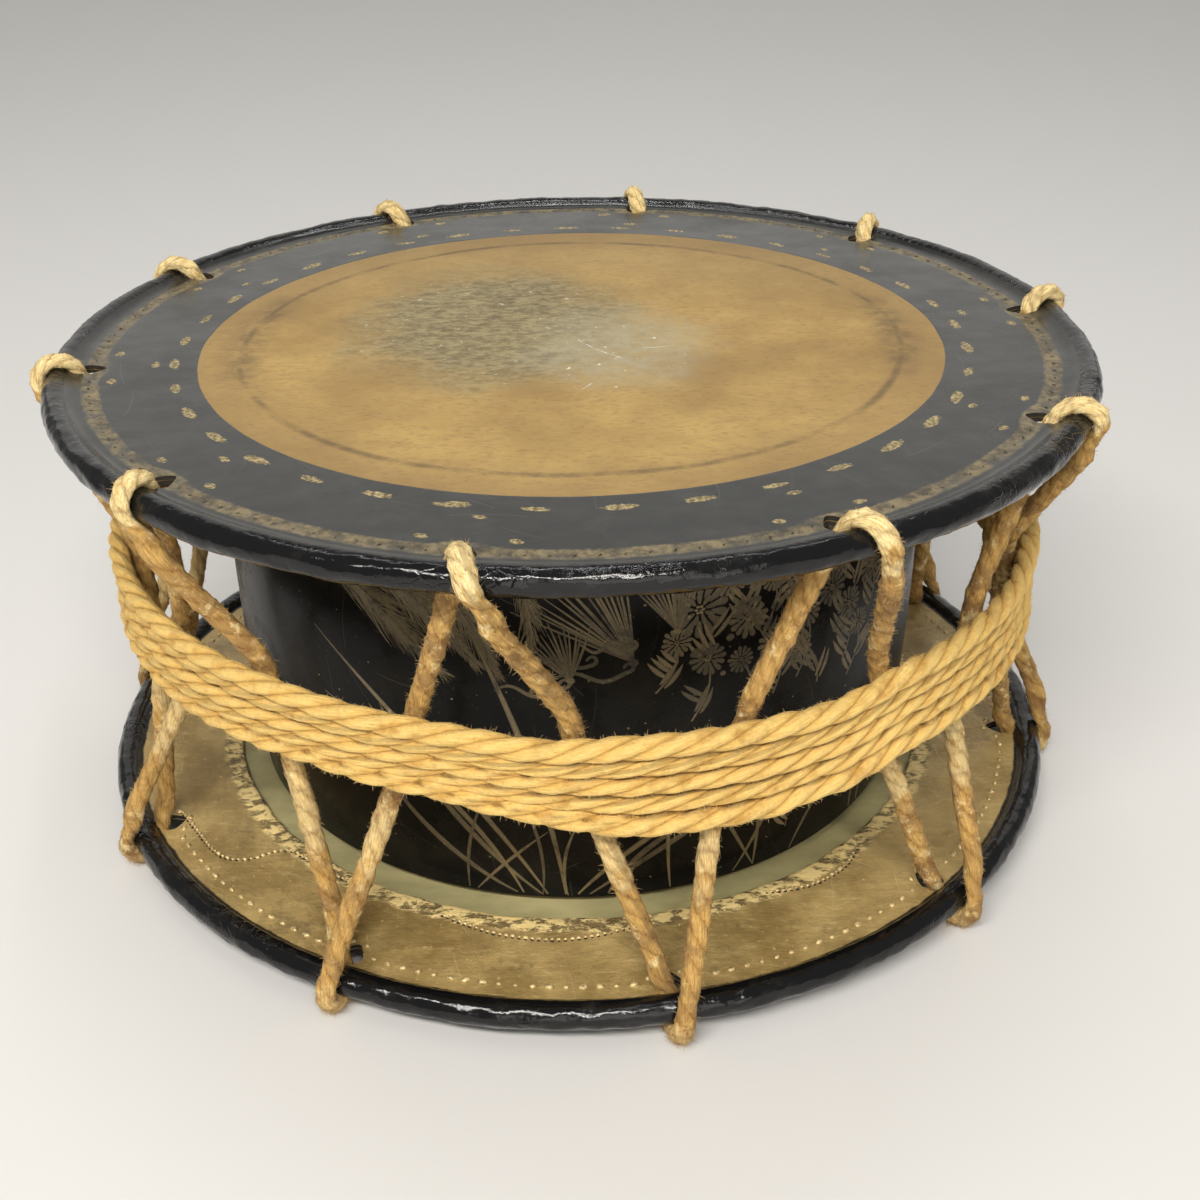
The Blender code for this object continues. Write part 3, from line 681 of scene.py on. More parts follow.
def rope_finish(name, colours, groove, seed, stains, bleached_share, bands=0.0, pale_heights=()):
    """Return a twisted rope's finish, blotched with stains, banded and paler between given heights.

    The colours are, in turn: the darkest, painted as shade on the groove floors and in the valleys between
    rows; the stain colour, for real stains and also painted as shade down the strands' slopes; the middle;
    the light;
    and the palest, for real bleaching and also painted as highlight on each strand's crown. The groove is its
    foot and top, how much painted shade its slopes and floor get, and how much painted highlight the crown
    gets.
    """
    dark, stain_and_shade, middle, light, bleach_and_highlight = colours
    foot, top, slope_share, floor_share, crown_share = groove
    sheen = {"Sheen_Weight": 0.06, "Sheen_Roughness": 0.5, "Sheen_Tint": (1.0, 0.72, 0.36)}
    look = Finish(name, middle, 0.9, **sheen)
    place = look.place
    along, around, proud, valley = look.attributes("along", "around", "proud", "valley")
    lie = {"Along": along, "Around": around, "Proud": proud}
    rope = use(rope_fibres, Fineness=5.0, Groove_foot=foot, Groove_top=top, Seed=seed, **lie)
    fibres, tone = rope["Fibres"], rope["Tone"]
    blotches = cloud(place, 105.0, seed, 4.0, 0.62)
    height = parts(place)[2] + (blotches - 0.5) * 0.05
    pale = blend(ramp(fibres, 0.3, 0.6), light, bleach_and_highlight)
    coats = [
        (ramp(fibres, 0.34, 0.62), light),
        (ramp(blotches, *stains) * ramp(tone, 0.36, 0.60, 0.35, 0.9), stain_and_shade),
        (ramp(cloud(place, 150.0, seed + 3, 5.0, 0.7), 0.54, 0.66, 0.0, bleached_share), bleach_and_highlight),
    ]
    for low, high, share in pale_heights:
        above, below = ramp(height, low - 0.003, low + 0.003), fade(height, high - 0.003, high + 0.003)
        coats.append((above * below * share, pale))
    broken = ramp(cloud(place, 240.0, seed + 5, 3.0), 0.34, 0.58, 0.35, 1.0)
    # Painted shade: each strand darkens down its slopes into the grooves, and darker still on the groove
    # floors and in the valleys between the waist rope's rows.
    slope = ramp(proud, foot, foot + 1.6 * (top - foot), slope_share, 0.0)
    coats += [
        (ramp(fibres, 0.26, 0.40, 0.35, 0.0), stain_and_shade),
        (either(slope, valley * 0.9), stain_and_shade),
        (either(rope["Groove"] * broken * floor_share, ramp(valley, 0.45, 1.0, 0.0, 0.8)), dark),
        # Painted highlight: each strand's crown is paler.
        (ramp(proud, 0.88, 1.03, 0.0, crown_share), bleach_and_highlight),
    ]
    if bands:
        apart = maths("PINGPONG", (along + fibres * 0.002) / bands, 0.5)
        coats.append((fade(apart, 0.0, 0.20) * ramp(tone, 0.42, 0.60) * 0.40, stain_and_shade))
    look.feed(Base_Color=layered(middle, *coats))
    look.relief(fibres + cloud(place, 620.0, seed + 7, 5.0, 0.72) * 1.4, 0.0009, 0.9)
    return look.material


# Shapes and routes, as in the CAD

def polar(radius, azimuth, height):
    """Return the point at a radius and an azimuth in degrees."""
    angle = math.radians(azimuth)
    return Vector((radius * math.cos(angle), radius * math.sin(angle), height))


def arc_points(centre, radius, start, stop, steps):
    """Return points on an arc in the (radius, height) plane, angles in degrees."""
    angles = [math.radians(start + (stop - start) * i / steps) for i in range(steps + 1)]
    return [(centre[0] + radius * math.cos(a), centre[1] + radius * math.sin(a)) for a in angles]


def fillet_angles(face, side, fillet):
    """Return the fillet centre and the roll angle where a flat face meets the roll."""
    rise = face + side * fillet
    run = math.sqrt((ROLL_RADIUS + fillet) ** 2 - rise ** 2)
    return (RING_RADIUS - run, rise - RING_DEPTH), math.degrees(math.atan2(rise, -run))


def loop_points(ring_height, band_edge, start_azimuth, stop_azimuth):
    """Return the rope's points over one roll, from the inner side to the outer side."""
    run = LACE_WAIST_RADIUS - RING_RADIUS
    rise = band_edge - ring_height
    half = math.degrees(math.acos(LOOP_RADIUS / math.hypot(run, rise)))
    middle = math.degrees(math.atan2(rise, run)) % 360
    inner, outer = (middle - half, middle + half - 360) if rise < 0 else (middle + half, middle - half + 360)
    section = arc_points((RING_RADIUS, ring_height), LOOP_RADIUS, inner, outer, LACE_LOOP_STEPS)
    step = (stop_azimuth - start_azimuth) / LACE_LOOP_STEPS
    return [polar(radius, start_azimuth + step * i, height) for i, (radius, height) in enumerate(section)]


def rounded_corner(before, corner, after):
    """Return three points that ease the rope round a corner."""
    first = corner + (before - corner).normalized() * LACE_BEND
    last = corner + (after - corner).normalized() * LACE_BEND
    return [first, (first + last) / 4 + corner / 2, last]


def rounded_straight(before, first, last, after):
    """Return a straight run's points, both its corners eased."""
    return rounded_corner(before, first, last) + rounded_corner(first, last, after)


def lace(number):
    """Return one lace's points: its rise to the top hole, its top loop, its fall and its low loop."""
    start = LACE_AZIMUTH + LACE_PITCH * number

    def at_band(share, height):
        return polar(LACE_WAIST_RADIUS, start + LACE_PITCH * share, height)

    rise = [at_band(UP_AT_BAND_FOOT - 1, BAND_FOOT), at_band(UP_AT_BAND_TOP - 1, BAND_TOP)]
    fall = [at_band(DOWN_AT_BAND_TOP, BAND_TOP), at_band(DOWN_AT_BAND_FOOT, BAND_FOOT)]
    out, low_in, low_out = (start + LACE_PITCH * share for share in (TOP_LOOP_OUT, LOW_LOOP_IN, LOW_LOOP_OUT))
    top = loop_points(TOP_RING_HEIGHT, BAND_TOP, start, out)
    low = loop_points(LOW_RING_HEIGHT, BAND_FOOT, low_in, low_out)
    return rise, top, fall, low


def azimuth_at(start, stop, height):
    """Return the azimuth where the rope between two points passes a height."""
    place = start.lerp(stop, (height - start.z) / (stop.z - start.z))
    return math.degrees(math.atan2(place.y, place.x))


def lacing_route():
    """Return the rope's centre line from its knot round to its knot, and the knot's direction."""
    rise, top = lace(FIRST_LACE)[:2]
    knot = rise[1].lerp(top[0], LACE_KNOT_PLACE)
    route = [knot]
    for number in range(FIRST_LACE, FIRST_LACE + LACE_COUNT):
        over, fall, low = lace(number)[1:]
        next_rise, next_over = lace(number + 1)[:2]
        route += over + rounded_straight(over[-1], *fall, low[0])
        route += low + rounded_straight(low[-1], *next_rise, next_over[0])
    return route + [knot], knot, (top[0] - rise[1]).normalized()


def ease(share):
    """Return a smooth step from 0 to 1."""
    share = np.clip(share, 0.0, 1.0)
    return share * share * (3 - 2 * share)


def waist_point(turned):
    """Return a point of the waist rope, this many degrees past its knot."""
    from_end = min(turned, WAIST_SWEEP - turned) / WAIST_END_SWEEP
    climb = ease(from_end / WAIST_CLIMB_SHARE)
    draw_in = ease((from_end - 1) / WAIST_DRAW_IN_SHARE + 1)
    height = WAIST_HEIGHT + climb * WAIST_PITCH * WAIST_TURNS * (0.5 - turned / WAIST_SWEEP)
    radius = WAIST_KNOT_DISTANCE + (WAIST_COIL_RADIUS - WAIST_KNOT_DISTANCE) * draw_in
    return polar(radius, WAIST_KNOT_AZIMUTH + turned, height)


def knot_length(rope_radius):
    """Return the length of a knot of coils of this rope."""
    return KNOT_COILS * 2 * rope_radius


def waist_route():
    """Return the waist rope's centre line from its knot round to its knot, and the knot's direction."""
    knot = polar(WAIST_KNOT_DISTANCE, WAIST_KNOT_AZIMUTH, WAIST_HEIGHT)
    tangent = polar(1.0, WAIST_KNOT_AZIMUTH + 90, 0.0)
    straight = knot_length(WAIST_RADIUS) / 2 + CLEARANCE + 2 * WAIST_RADIUS
    first_turn = math.degrees(2 * straight / WAIST_KNOT_DISTANCE)
    steps = WAIST_END_POINTS
    ends = [first_turn + (WAIST_END_SWEEP - first_turn) * i / steps for i in range(steps)]
    sweep = WAIST_SWEEP - 2 * WAIST_END_SWEEP
    count = round(sweep * WAIST_POINTS_PER_TURN / 360)
    middle = [WAIST_END_SWEEP + sweep * i / count for i in range(count + 1)]
    turns = ends + middle + [WAIST_SWEEP - turned for turned in reversed(ends)]
    coil = [waist_point(turned) for turned in turns]
    return [knot, knot + tangent * straight, *coil, knot - tangent * straight, knot], knot, tangent


# Mesh helpers

def add_object(name, data, *finishes):
    """Link an object of this data with its finishes."""
    new = bpy.data.objects.new(name, data)
    bpy.context.scene.collection.objects.link(new)
    for one in finishes:
        data.materials.append(one)
    return new


def dress(piece, slot, *nodes):
    """Let a finished piece ride on the drum and stand for its CAD nodes, which it hides. The slot is not
    used.
    """
    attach(piece, "root")
    if nodes:
        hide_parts(*nodes)
    return piece


def bumps(points, scale, seed):
    """Return smooth noise between -1 and 1 at each point."""
    shift = Vector((seed * 3.1, seed * 1.7, seed * 2.3))
    return np.array([noise.noise(Vector(point) * scale + shift) for point in points])


def solid_mesh(name, verts, faces):
    """Return a smooth mesh of closed shapes, all its faces turned outward."""
    mesh = bpy.data.meshes.new(name)
    mesh.from_pydata(verts, [], faces)
    shape = bmesh.new()
    shape.from_mesh(mesh)
    bmesh.ops.recalc_face_normals(shape, faces=shape.faces)
    shape.to_mesh(mesh)
    shape.free()
    mesh.shade_smooth()
    return mesh


def grid_mesh(name, rings, zones):
    """Return a closed mesh of revolution from rings of points, each strip with its zone's finish.

    Its first and last rings are single points, or else the last ring meets the first.
    """
    count = len(rings[1])
    starts = [sum(len(ring) for ring in rings[:number]) for number in range(len(rings))]
    has_poles = len(rings[0]) == 1
    faces = []
    finishes = []
    for first in range(len(rings) - has_poles):
        second = (first + 1) % len(rings)
        for i in range(count):
            j = (i + 1) % count
            near = [starts[first]] if len(rings[first]) == 1 else [starts[first] + i, starts[first] + j]
            far = [starts[second]] if len(rings[second]) == 1 else [starts[second] + j, starts[second] + i]
            faces.append(near + far)
            finishes.append(zones[first])
    mesh = solid_mesh(name, [tuple(point) for ring in rings for point in ring], faces)
    mesh.polygons.foreach_set("material_index", finishes)
    return mesh


def evaluated_mesh(carrier):
    """Return the plain mesh of an object with its modifiers, and remove the object."""
    depsgraph = bpy.context.evaluated_depsgraph_get()
    mesh = bpy.data.meshes.new_from_object(carrier.evaluated_get(depsgraph))
    bpy.data.objects.remove(carrier, do_unlink=True)
    return mesh


def vertex_places(mesh):
    """Return the places of a mesh's vertices."""
    places = np.empty(len(mesh.vertices) * 3)
    mesh.vertices.foreach_get("co", places)
    return places.reshape(-1, 3)


def move_vertices(mesh, places):
    """Move a mesh's vertices to these places, and none below the floor."""
    places[:, 2] = np.maximum(places[:, 2], FLOOR_GAP)
    mesh.vertices.foreach_set("co", places.ravel())
    mesh.update()


# Heads

FACE, ROLL, HEM, INSIDE, CUT = range(5)


def spread(start, *stops):
    """Return start and then evenly spaced values, up to each stop in this count."""
    values = [start]
    for stop, count in stops:
        values += [start + (stop - start) * (i + 1) / count for i in range(count)]
        start = stop
    return values


def head_section():
    """Return a head's section as (radius, height, zone): its face, roll, hem and the pocket for the ring."""
    ring = (RING_RADIUS, -RING_DEPTH)
    face_fillet, face_angle = fillet_angles(RING_DEPTH, 1, FACE_FILLET)
    hem_fillet, hem_angle = fillet_angles(HEM_FACE + RING_DEPTH, -1, ROLL_FILLET)
    slit_upper = math.degrees(math.asin((RING_DEPTH - HIDE_THICKNESS) / POCKET_RADIUS))
    slit_lower = math.degrees(math.asin((RING_DEPTH + HEM_TOP) / POCKET_RADIUS))
    radii = spread(
        0.0, (0.100, 9), (0.108, 3), (0.115, 7), (0.1245, 4), (0.1265, 4), (0.154, 13),
        (face_fillet[0] - FACE_END_GAP, 12),
    )
    hem_radii = spread(hem_fillet[0], (0.158, 6), (0.134, 7), (HEM_INNER_RADIUS, 5))[1:-1]
    edge = (HEM_INNER_RADIUS + HIDE_THICKNESS / 2, (HEM_FACE + HEM_TOP) / 2)
    zones = (
        (FACE, [(radius, 0.0) for radius in radii]),
        (FACE, arc_points(face_fillet, FACE_FILLET, 270, 180 + face_angle, 7)[:-1]),
        (ROLL, arc_points(ring, ROLL_RADIUS, face_angle, hem_angle, 25)),
        (HEM, arc_points(hem_fillet, ROLL_FILLET, 180 + hem_angle, 90, 3)[1:]),
        (HEM, [(radius, HEM_FACE) for radius in hem_radii]),
        (HEM, arc_points(edge, HIDE_THICKNESS / 2, 270, 90, 4)),
        (INSIDE, arc_points(ring, POCKET_RADIUS, -180 - slit_lower, 180 - slit_upper, 8)),
        (INSIDE, [(radius, -HIDE_THICKNESS) for radius in (0.140, 0.1285, 0.1220, 0.080, 0.0)]),
    )
    return [(*point, zone) for zone, points in zones for point in points]


def face_lift(radius, points, seed):
    """Return how far a face stands above flat: its waviness, the bearing crest and the gathered seam."""
    lift = 0.00012 * bumps(points, 24, seed)
    lift += 0.00010 * math.exp(-((radius - EDGE_CREST_RADIUS) / 0.0024) ** 2)
    if radius > LACQUER_EDGE:
        lift += 0.00005 + 0.00010 * bumps(points, 120, seed + 1)
    if radius > GOLD_BAND_INNER - 0.004:
        gather = math.exp(-((radius - SEAM_CIRCLE_RADIUS) / 0.0016) ** 2)
        lift += gather * (0.00022 * bumps(points, 420, seed + 2) - 0.00018)
    return lift


def hide_lift(zone, radius, points, seed, roll_share):
    """Return how far the hide of a zone stands out, with its wrinkles."""
    if zone == FACE:
        return face_lift(radius, points, seed)
    if zone == ROLL:
        lift = 0.00040 * bumps(points, 150, seed) + 0.00021 * bumps(points, 420, seed + 3)
        lift += 0.00045 * bumps(points, 38, seed + 5)
        return lift * ease(roll_share)
    if zone == HEM and radius < HEM_INNER_RADIUS + 0.0001:
        return 0.0007 * bumps(points, 160, seed + 8)
    if zone == HEM:
        lift = 0.00016 * bumps(points, 90, seed + 4) + 0.00010 * bumps(points, 300, seed + 6)
        return lift + ease((0.136 - radius) / 0.006) * (0.00035 + 0.00045 * bumps(points, 130, seed + 7))
    return np.zeros(HEAD_TURNS)


def head_mesh(name, height, way_up, seed):
    """Return one head's mesh, its leather rolled and gathered with real wrinkles."""
    section = head_section()
    azimuths = np.radians(np.arange(HEAD_TURNS) * 360 / HEAD_TURNS)
    cosines, sines = np.cos(azimuths), np.sin(azimuths)
    zones = [zone for radius, rise, zone in section]
    rolled = [i for i, zone in enumerate(zones) if zone == ROLL]
    rings = []
    for i, (radius, rise, zone) in enumerate(section):
        if radius == 0.0:
            rings.append([(0.0, 0.0, height + way_up * rise)])
            continue
        flat = np.stack([radius * cosines, radius * sines, np.full(HEAD_TURNS, rise * 3)], 1)
        before, after = section[i - 1], section[i + 1]
        run, climb = after[0] - before[0], after[1] - before[1]
        size = math.hypot(run, climb)
        lift = hide_lift(zone, radius, flat, seed, min(i - rolled[0], rolled[-1] - i) / 7)
        far = radius - climb / size * lift
        rings.append(np.stack([far * cosines, far * sines, height + way_up * (rise + run / size * lift)], 1))
    return grid_mesh(name, rings, zones)


def hole_cutters(first_hole, height):
    """Return a mesh of upright almond-shaped cutters, one at each lacing hole."""
    corners = 20
    verts = []
    faces = []
    for number in range(LACE_COUNT):
        azimuth = first_hole + LACE_PITCH * number
        low = len(verts)
        for way in (-1, 1):
            for i in range(corners):
                angle = 2 * math.pi * i / corners
                inward = max(-math.cos(angle), 0.0)
                radius = HOLE_CIRCLE_RADIUS + HOLE_RADIUS * (0.88 + 0.10 * inward) * math.cos(angle)
                width = HOLE_RADIUS * (0.82 - 0.34 * inward)
                turn = math.degrees(width * math.sin(angle) / HOLE_CIRCLE_RADIUS)
                verts.append(polar(radius, azimuth + turn, height + way * 0.02))
        high = low + corners
        faces += [list(range(low, high)), list(range(high, high + corners))]
        for i in range(corners):
            j = (i + 1) % corners
            faces.append([low + i, low + j, high + j, high + i])
    mesh = solid_mesh("hole_cutters", verts, faces)
    mesh.polygons.foreach_set("material_index", [CUT] * len(faces))
    return mesh


def make_head(prefix, height, way_up, first_hole, finishes, seed):
    """Make one head with its lacing holes cut through."""
    carrier = add_object(prefix + "_blank", head_mesh(prefix, height, way_up, seed), *finishes)
    cutters = add_object(prefix + "_cutters", hole_cutters(first_hole, height), *finishes)
    cut = carrier.modifiers.new("Lacing holes", "BOOLEAN")
    cut.operation = "DIFFERENCE"
    cut.solver = "EXACT"
    cut.object = cutters
    mesh = evaluated_mesh(carrier)
    bpy.data.objects.remove(cutters, do_unlink=True)
    mesh.shade_smooth()
    mesh.set_sharp_from_angle(angle=math.radians(50))
    dress(add_object(prefix + "_head", mesh), "lacquered_hide", prefix + "_head_hide")


# Geometry Nodes trees

def new_tree(name, **inputs):
    """Return a new Geometry Nodes tree's entry and exit."""
    inputs = {"Geometry": "Geometry", "Finish": "Material", **spaced(inputs)}
    return new_group("GeometryNodeTree", name, inputs, {"Geometry": "Geometry"})


def end_tree(enter, leave, geometry):
    """End a tree: realise its instances, set its finish, and return the tree."""
    real = put("GeometryNodeRealizeInstances", {"Geometry": geometry})[0]
    smooth = put("GeometryNodeSetShadeSmooth", {"Geometry": real})[0]
    done = put("GeometryNodeSetMaterial", {"Geometry": smooth, "Material": enter["Finish"]})[0]
    return give(leave, Geometry=done)


def grown_mesh(name, data, tree, values):
    """Run a Geometry Nodes tree over curve or mesh data and return the result as a plain mesh."""
    carrier = add_object(name + "_carrier", data)
    modifier = carrier.modifiers.new(tree.name, "NODES")
    modifier.node_group = tree
    for item in tree.interface.items_tree:
        if item.in_out == "INPUT" and item.name in values:
            modifier[item.identifier] = values[item.name]
    mesh = evaluated_mesh(carrier)
    mesh.name = name
    return mesh


def named(tree, label, kind="FLOAT"):
    """Return a named attribute."""
    return put("GeometryNodeInputNamedAttribute", {"Name": label}, tree, data_type=kind)[0]


def store(geometry, label, value, kind="FLOAT"):
    """Store a value on a geometry's points under a name."""
    sockets = {"Geometry": geometry, "Name": label, "Value": value}
    return put("GeometryNodeStoreNamedAttribute", sockets, data_type=kind)[0]


def circle(tree, sides):
    """Return a circle of radius 1 with this many sides."""
    return put("GeometryNodeCurvePrimitiveCircle", {"Resolution": sides, "Radius": 1.0}, tree)[0]


def tube(curve, profile, scale):
    """Return a capped tube along a curve."""
    sockets = {"Curve": curve, "Profile Curve": profile, "Scale": scale, "Fill Caps": True}
    return put("GeometryNodeCurveToMesh", sockets)[0]


def scattered(points, instance, rotation, scale):
    """Return instances on points."""
    sockets = {"Points": points["Points"], "Instance": instance, "Rotation": rotation, "Scale": scale}
    return put("GeometryNodeInstanceOnPoints", sockets)[0]


def turned_by(rotation, euler):
    """Return a rotation turned further about its own axes."""
    by = put("FunctionNodeEulerToRotation", {0: euler})[0]
    sockets = {"Rotation": rotation, "Rotate By": by}
    return put("FunctionNodeRotateRotation", sockets, rotation_space="LOCAL")[0]


def rope_tree():
    """Lay strands round a curve: each is a tube that twists round the rope's line."""
    sizes = numbers("Radius", "Lay length", "Hand", "Strand share", "Step", "Roughness", "Seed")
    enter, leave = new_tree("Laid rope", Sides="Int", **sizes)
    tree = enter.tree
    position = put("GeometryNodeInputPosition", {}, tree)[0]
    normal = put("GeometryNodeInputNormal", {}, tree)[0]
    spline = put("GeometryNodeSplineParameter", {}, tree)
    resampled = {"Curve": enter["Geometry"], "Length": enter["Step"]}
    line = put("GeometryNodeResampleCurve", resampled, mode="LENGTH")[0]
    line = store(line, "centre", position, "FLOAT_VECTOR")
    line = store(line, "along", spline["Length"])
    line = store(line, "swell", put("GeometryNodeInputRadius", {}, tree)[0])
    line = put("GeometryNodeSetCurveRadius", {"Curve": line, "Radius": 1.0})[0]
    side = vector_maths("CROSS_PRODUCT", put("GeometryNodeInputTangent", {}, tree)[0], normal)
    ring = store(circle(tree, enter["Sides"]), "around", spline["Factor"])
    radius = enter["Radius"] * named(tree, "swell")
    thickness = radius * enter["Strand share"]
    reach = radius - thickness
    turns = named(tree, "along") * enter["Hand"] / enter["Lay length"]
    strands = put("GeometryNodeJoinGeometry", {}, tree)
    for strand in range(STRANDS):
        turn = (turns + strand / STRANDS) * (2 * math.pi)
        over = vector_maths("SCALE", normal, Scale=maths("COSINE", turn))
        beside = vector_maths("SCALE", side, Scale=maths("SINE", turn))
        offset = vector_maths("SCALE", vector_maths("ADD", over, beside), Scale=reach)
        moved = put("GeometryNodeSetPosition", {"Geometry": line, "Offset": offset})[0]
        fill(tree, strands.node, {0: tube(moved, ring, thickness)})
    apart = length(vector_maths("SUBTRACT", position, named(tree, "centre", "FLOAT_VECTOR")))
    proud = store(strands[0], "proud", apart / radius)
    push = (cloud(position, 320.0, enter["Seed"], 4.0, 0.5) - 0.5) * enter["Roughness"]
    offset = vector_maths("SCALE", normal, Scale=push)
    rough = put("GeometryNodeSetPosition", {"Geometry": proud, "Offset": offset})[0]
    lean = put("GeometryNodeRemoveAttribute", {"Geometry": rough, "Name": "centre"})[0]
    return end_tree(enter, leave, lean)


def fuzz_tree():
    """Scatter short loose fibres over a rope's outer side."""
    enter, leave = new_tree("Loose fibres", Seed="Int", **numbers("Density", "Length", "Thickness", "Below"))
    tree = enter.tree
    height = parts(put("GeometryNodeInputPosition", {}, tree)[0])[2]
    low = maths("LESS_THAN", height, enter["Below"])
    outer = maths("GREATER_THAN", named(tree, "proud"), 0.78) * low
    points = put("GeometryNodeDistributePointsOnFaces", {
        "Mesh": enter["Geometry"], "Selection": outer, "Density": enter["Density"], "Seed": enter["Seed"],
    })
    start = joined(0.0, 0.0, enter["Length"] * -0.2)
    end = joined(0.0, 0.0, enter["Length"])
    hair = put("GeometryNodeCurvePrimitiveLine", {"Start": start, "End": end})[0]
    share = put("GeometryNodeSplineParameter", {}, tree)["Factor"]
    hair = tube(hair, circle(tree, 3), (1.25 - share) * enter["Thickness"])
    limits = {0: (-1.35, -1.35, -3.1), 1: (1.35, 1.35, 3.1), "Seed": 11}
    lean = put("FunctionNodeRandomValue", limits, tree, data_type="FLOAT_VECTOR")[0]
    size = put("FunctionNodeRandomValue", {2: 0.35, 3: 1.5, "Seed": 12}, tree)[1]
    return end_tree(enter, leave, scattered(points, hair, turned_by(points["Rotation"], lean), size))


def marks_tree():
    """Set a small rounded mark on each point of a flat curve, along the curve, with a little scatter."""
    sizes = numbers("Length", "Width", "Height", "Turn", "Scatter")
    enter, leave = new_tree("Marks on a line", Sides="Int", Seed="Int", **sizes)
    points = put("GeometryNodeCurveToPoints", {"Curve": enter["Geometry"]}, mode="EVALUATED")
    grain = put("GeometryNodeMeshUVSphere", {"Segments": enter["Sides"], "Rings": 5, "Radius": 0.5})[0]
    size = joined(enter["Length"], enter["Width"], enter["Height"])
    grain = put("GeometryNodeTransform", {"Geometry": grain, "Scale": size})[0]
    axes = {"Primary Axis": (0.0, 0.0, 1.0), "Secondary Axis": points["Tangent"]}
    facing = put("FunctionNodeAxesToRotation", axes)[0]
    loose = put("FunctionNodeRandomValue", {2: -1.0, 3: 1.0, "Seed": enter["Seed"]})[1]
    facing = turned_by(facing, joined(0.0, 0.0, enter["Turn"] + loose * enter["Scatter"]))
    vary = enter["Scatter"] * 0.7
    limits = {2: 1.0 - vary, 3: vary + 1.0, "Seed": enter["Seed"] + 1}
    scale = put("FunctionNodeRandomValue", limits)[1]
    return end_tree(enter, leave, scattered(points, grain, facing, scale))


# Ropes

def rounded_route(route, rounds=2):
    """Cut a route's corners to make it smooth, and keep its ends."""
    for _ in range(rounds):
        smooth = [route[0]]
        for first, second in zip(route, route[1:]):
            smooth += [first.lerp(second, 0.25), first.lerp(second, 0.75)]
        route = smooth + [route[-1]]
    return route


def travel_along(points):
    """Return how far each point lies along its route."""
    return np.concatenate([[0.0], np.cumsum(np.linalg.norm(np.diff(points, axis=0), axis=1))])


def even_route(route, step):
    """Return points along a route, a step apart."""
    points = np.array(route)
    travel = travel_along(points)
    places = np.linspace(0.0, travel[-1], round(travel[-1] / step) + 1)
    return np.stack([np.interp(places, travel, points[:, axis]) for axis in range(3)], 1)


def curve_data(name, points, swells=None, closed=False):
    """Return a poly curve through points, each with its share of the rope's thickness."""
    data = bpy.data.curves.new(name, "CURVE")
    data.dimensions = "3D"
    spline = data.splines.new("POLY")
    spline.points.add(len(points) - 1)
    for i, place in enumerate(points):
        spline.points[i].co = (*place, 1.0)
        spline.points[i].radius = 1.0 if swells is None else float(swells[i])
    spline.use_cyclic_u = closed
    return data


def make_rope(name, points, swells, values, slot, node, pressed=False):
    """Make a laid rope along points."""
    mesh = grown_mesh(name, curve_data(name, points, swells), laid_rope, values)
    if pressed:
        press_on_rolls(mesh)
    return dress(add_object(name, mesh), slot, node)


def press_on_rolls(mesh):
    """Flatten a rope where it is drawn tight over the rolls, and where the drum stands on it."""
    places = vertex_places(mesh)
    for ring_height, flatten_under in ((TOP_RING_HEIGHT, 0.0), (LOW_RING_HEIGHT, FOOT_PRESS_SHARE)):
        far = np.hypot(places[:, 0], places[:, 1])
        out, up = far - RING_RADIUS, places[:, 2] - ring_height
        reach = np.hypot(out, up)
        gap = reach - ROLL_RADIUS
        near = ease((PRESS_REACH - gap) / (PRESS_REACH / 2))
        keep = 1 - near * (PRESS_SHARE - flatten_under * np.clip(-up / reach, 0, 1))
        tight = np.maximum(gap - PRESS_DEPTH * near, LEAST_GAP)
        shrink = np.where(gap < PRESS_REACH, ROLL_RADIUS + tight * keep, reach) / reach
        places[:, :2] *= ((RING_RADIUS + out * shrink) / far)[:, None]
        places[:, 2] = ring_height + up * shrink
    move_vertices(mesh, places)


def make_fuzz(name, rope, slot, finish, seed, **sizes):
    """Make the loose fibres of a rope, in two pieces."""
    for half in (1, 2):
        values = {"Finish": finish, "Seed": seed + half, **sizes}
        mesh = grown_mesh(f"{name}_{half}", rope.data.copy(), loose_fibres, values)
        move_vertices(mesh, vertex_places(mesh))
        dress(add_object(f"{name}_{half}", mesh), slot)


def lacing_line():
    """Return the lacing's points and thickness: a little uneven, and squeezed wide over the rolls."""
    route, knot, way_up = lacing_route()
    points = even_route(rounded_route(route), ROUTE_STEP)
    points = points + 0.0004 * np.stack([bumps(points, 32, seed) for seed in (21, 22, 23)], 1)
    over_roll = ease((np.abs(points[:, 2] - BODY_MIDDLE) - 0.066) / 0.014)
    return points, 0.93 + 0.12 * over_roll + 0.09 * bumps(points, 80, 24), knot, way_up


def knot_line(knot, direction, knot_radius, rope_radius):
    """Return the points of a rope end coiled round a knot, with a short tail."""
    side = direction.orthogonal().normalized()
    other = direction.cross(side)
    rise = knot_length(rope_radius) / 2 - rope_radius
    points = []
    steps = 22 * KNOT_COILS
    for i in range(steps + 1):
        share = i / steps
        angle = 2 * math.pi * KNOT_COILS * share
        out = side * math.cos(angle) + other * math.sin(angle)
        points.append(knot + direction * rise * (2 * share - 1) + out * (knot_radius - rope_radius))
    tail = (points[-1] - points[-2]).normalized()
    last = points[-1]
    outward = Vector((knot.x, knot.y, 0.0)).normalized()
    for i in range(1, 9):
        share = i / 8
        points.append(last + tail * 0.010 * share + outward * 0.002 * share + DOWN * 0.016 * share * share)
    return points


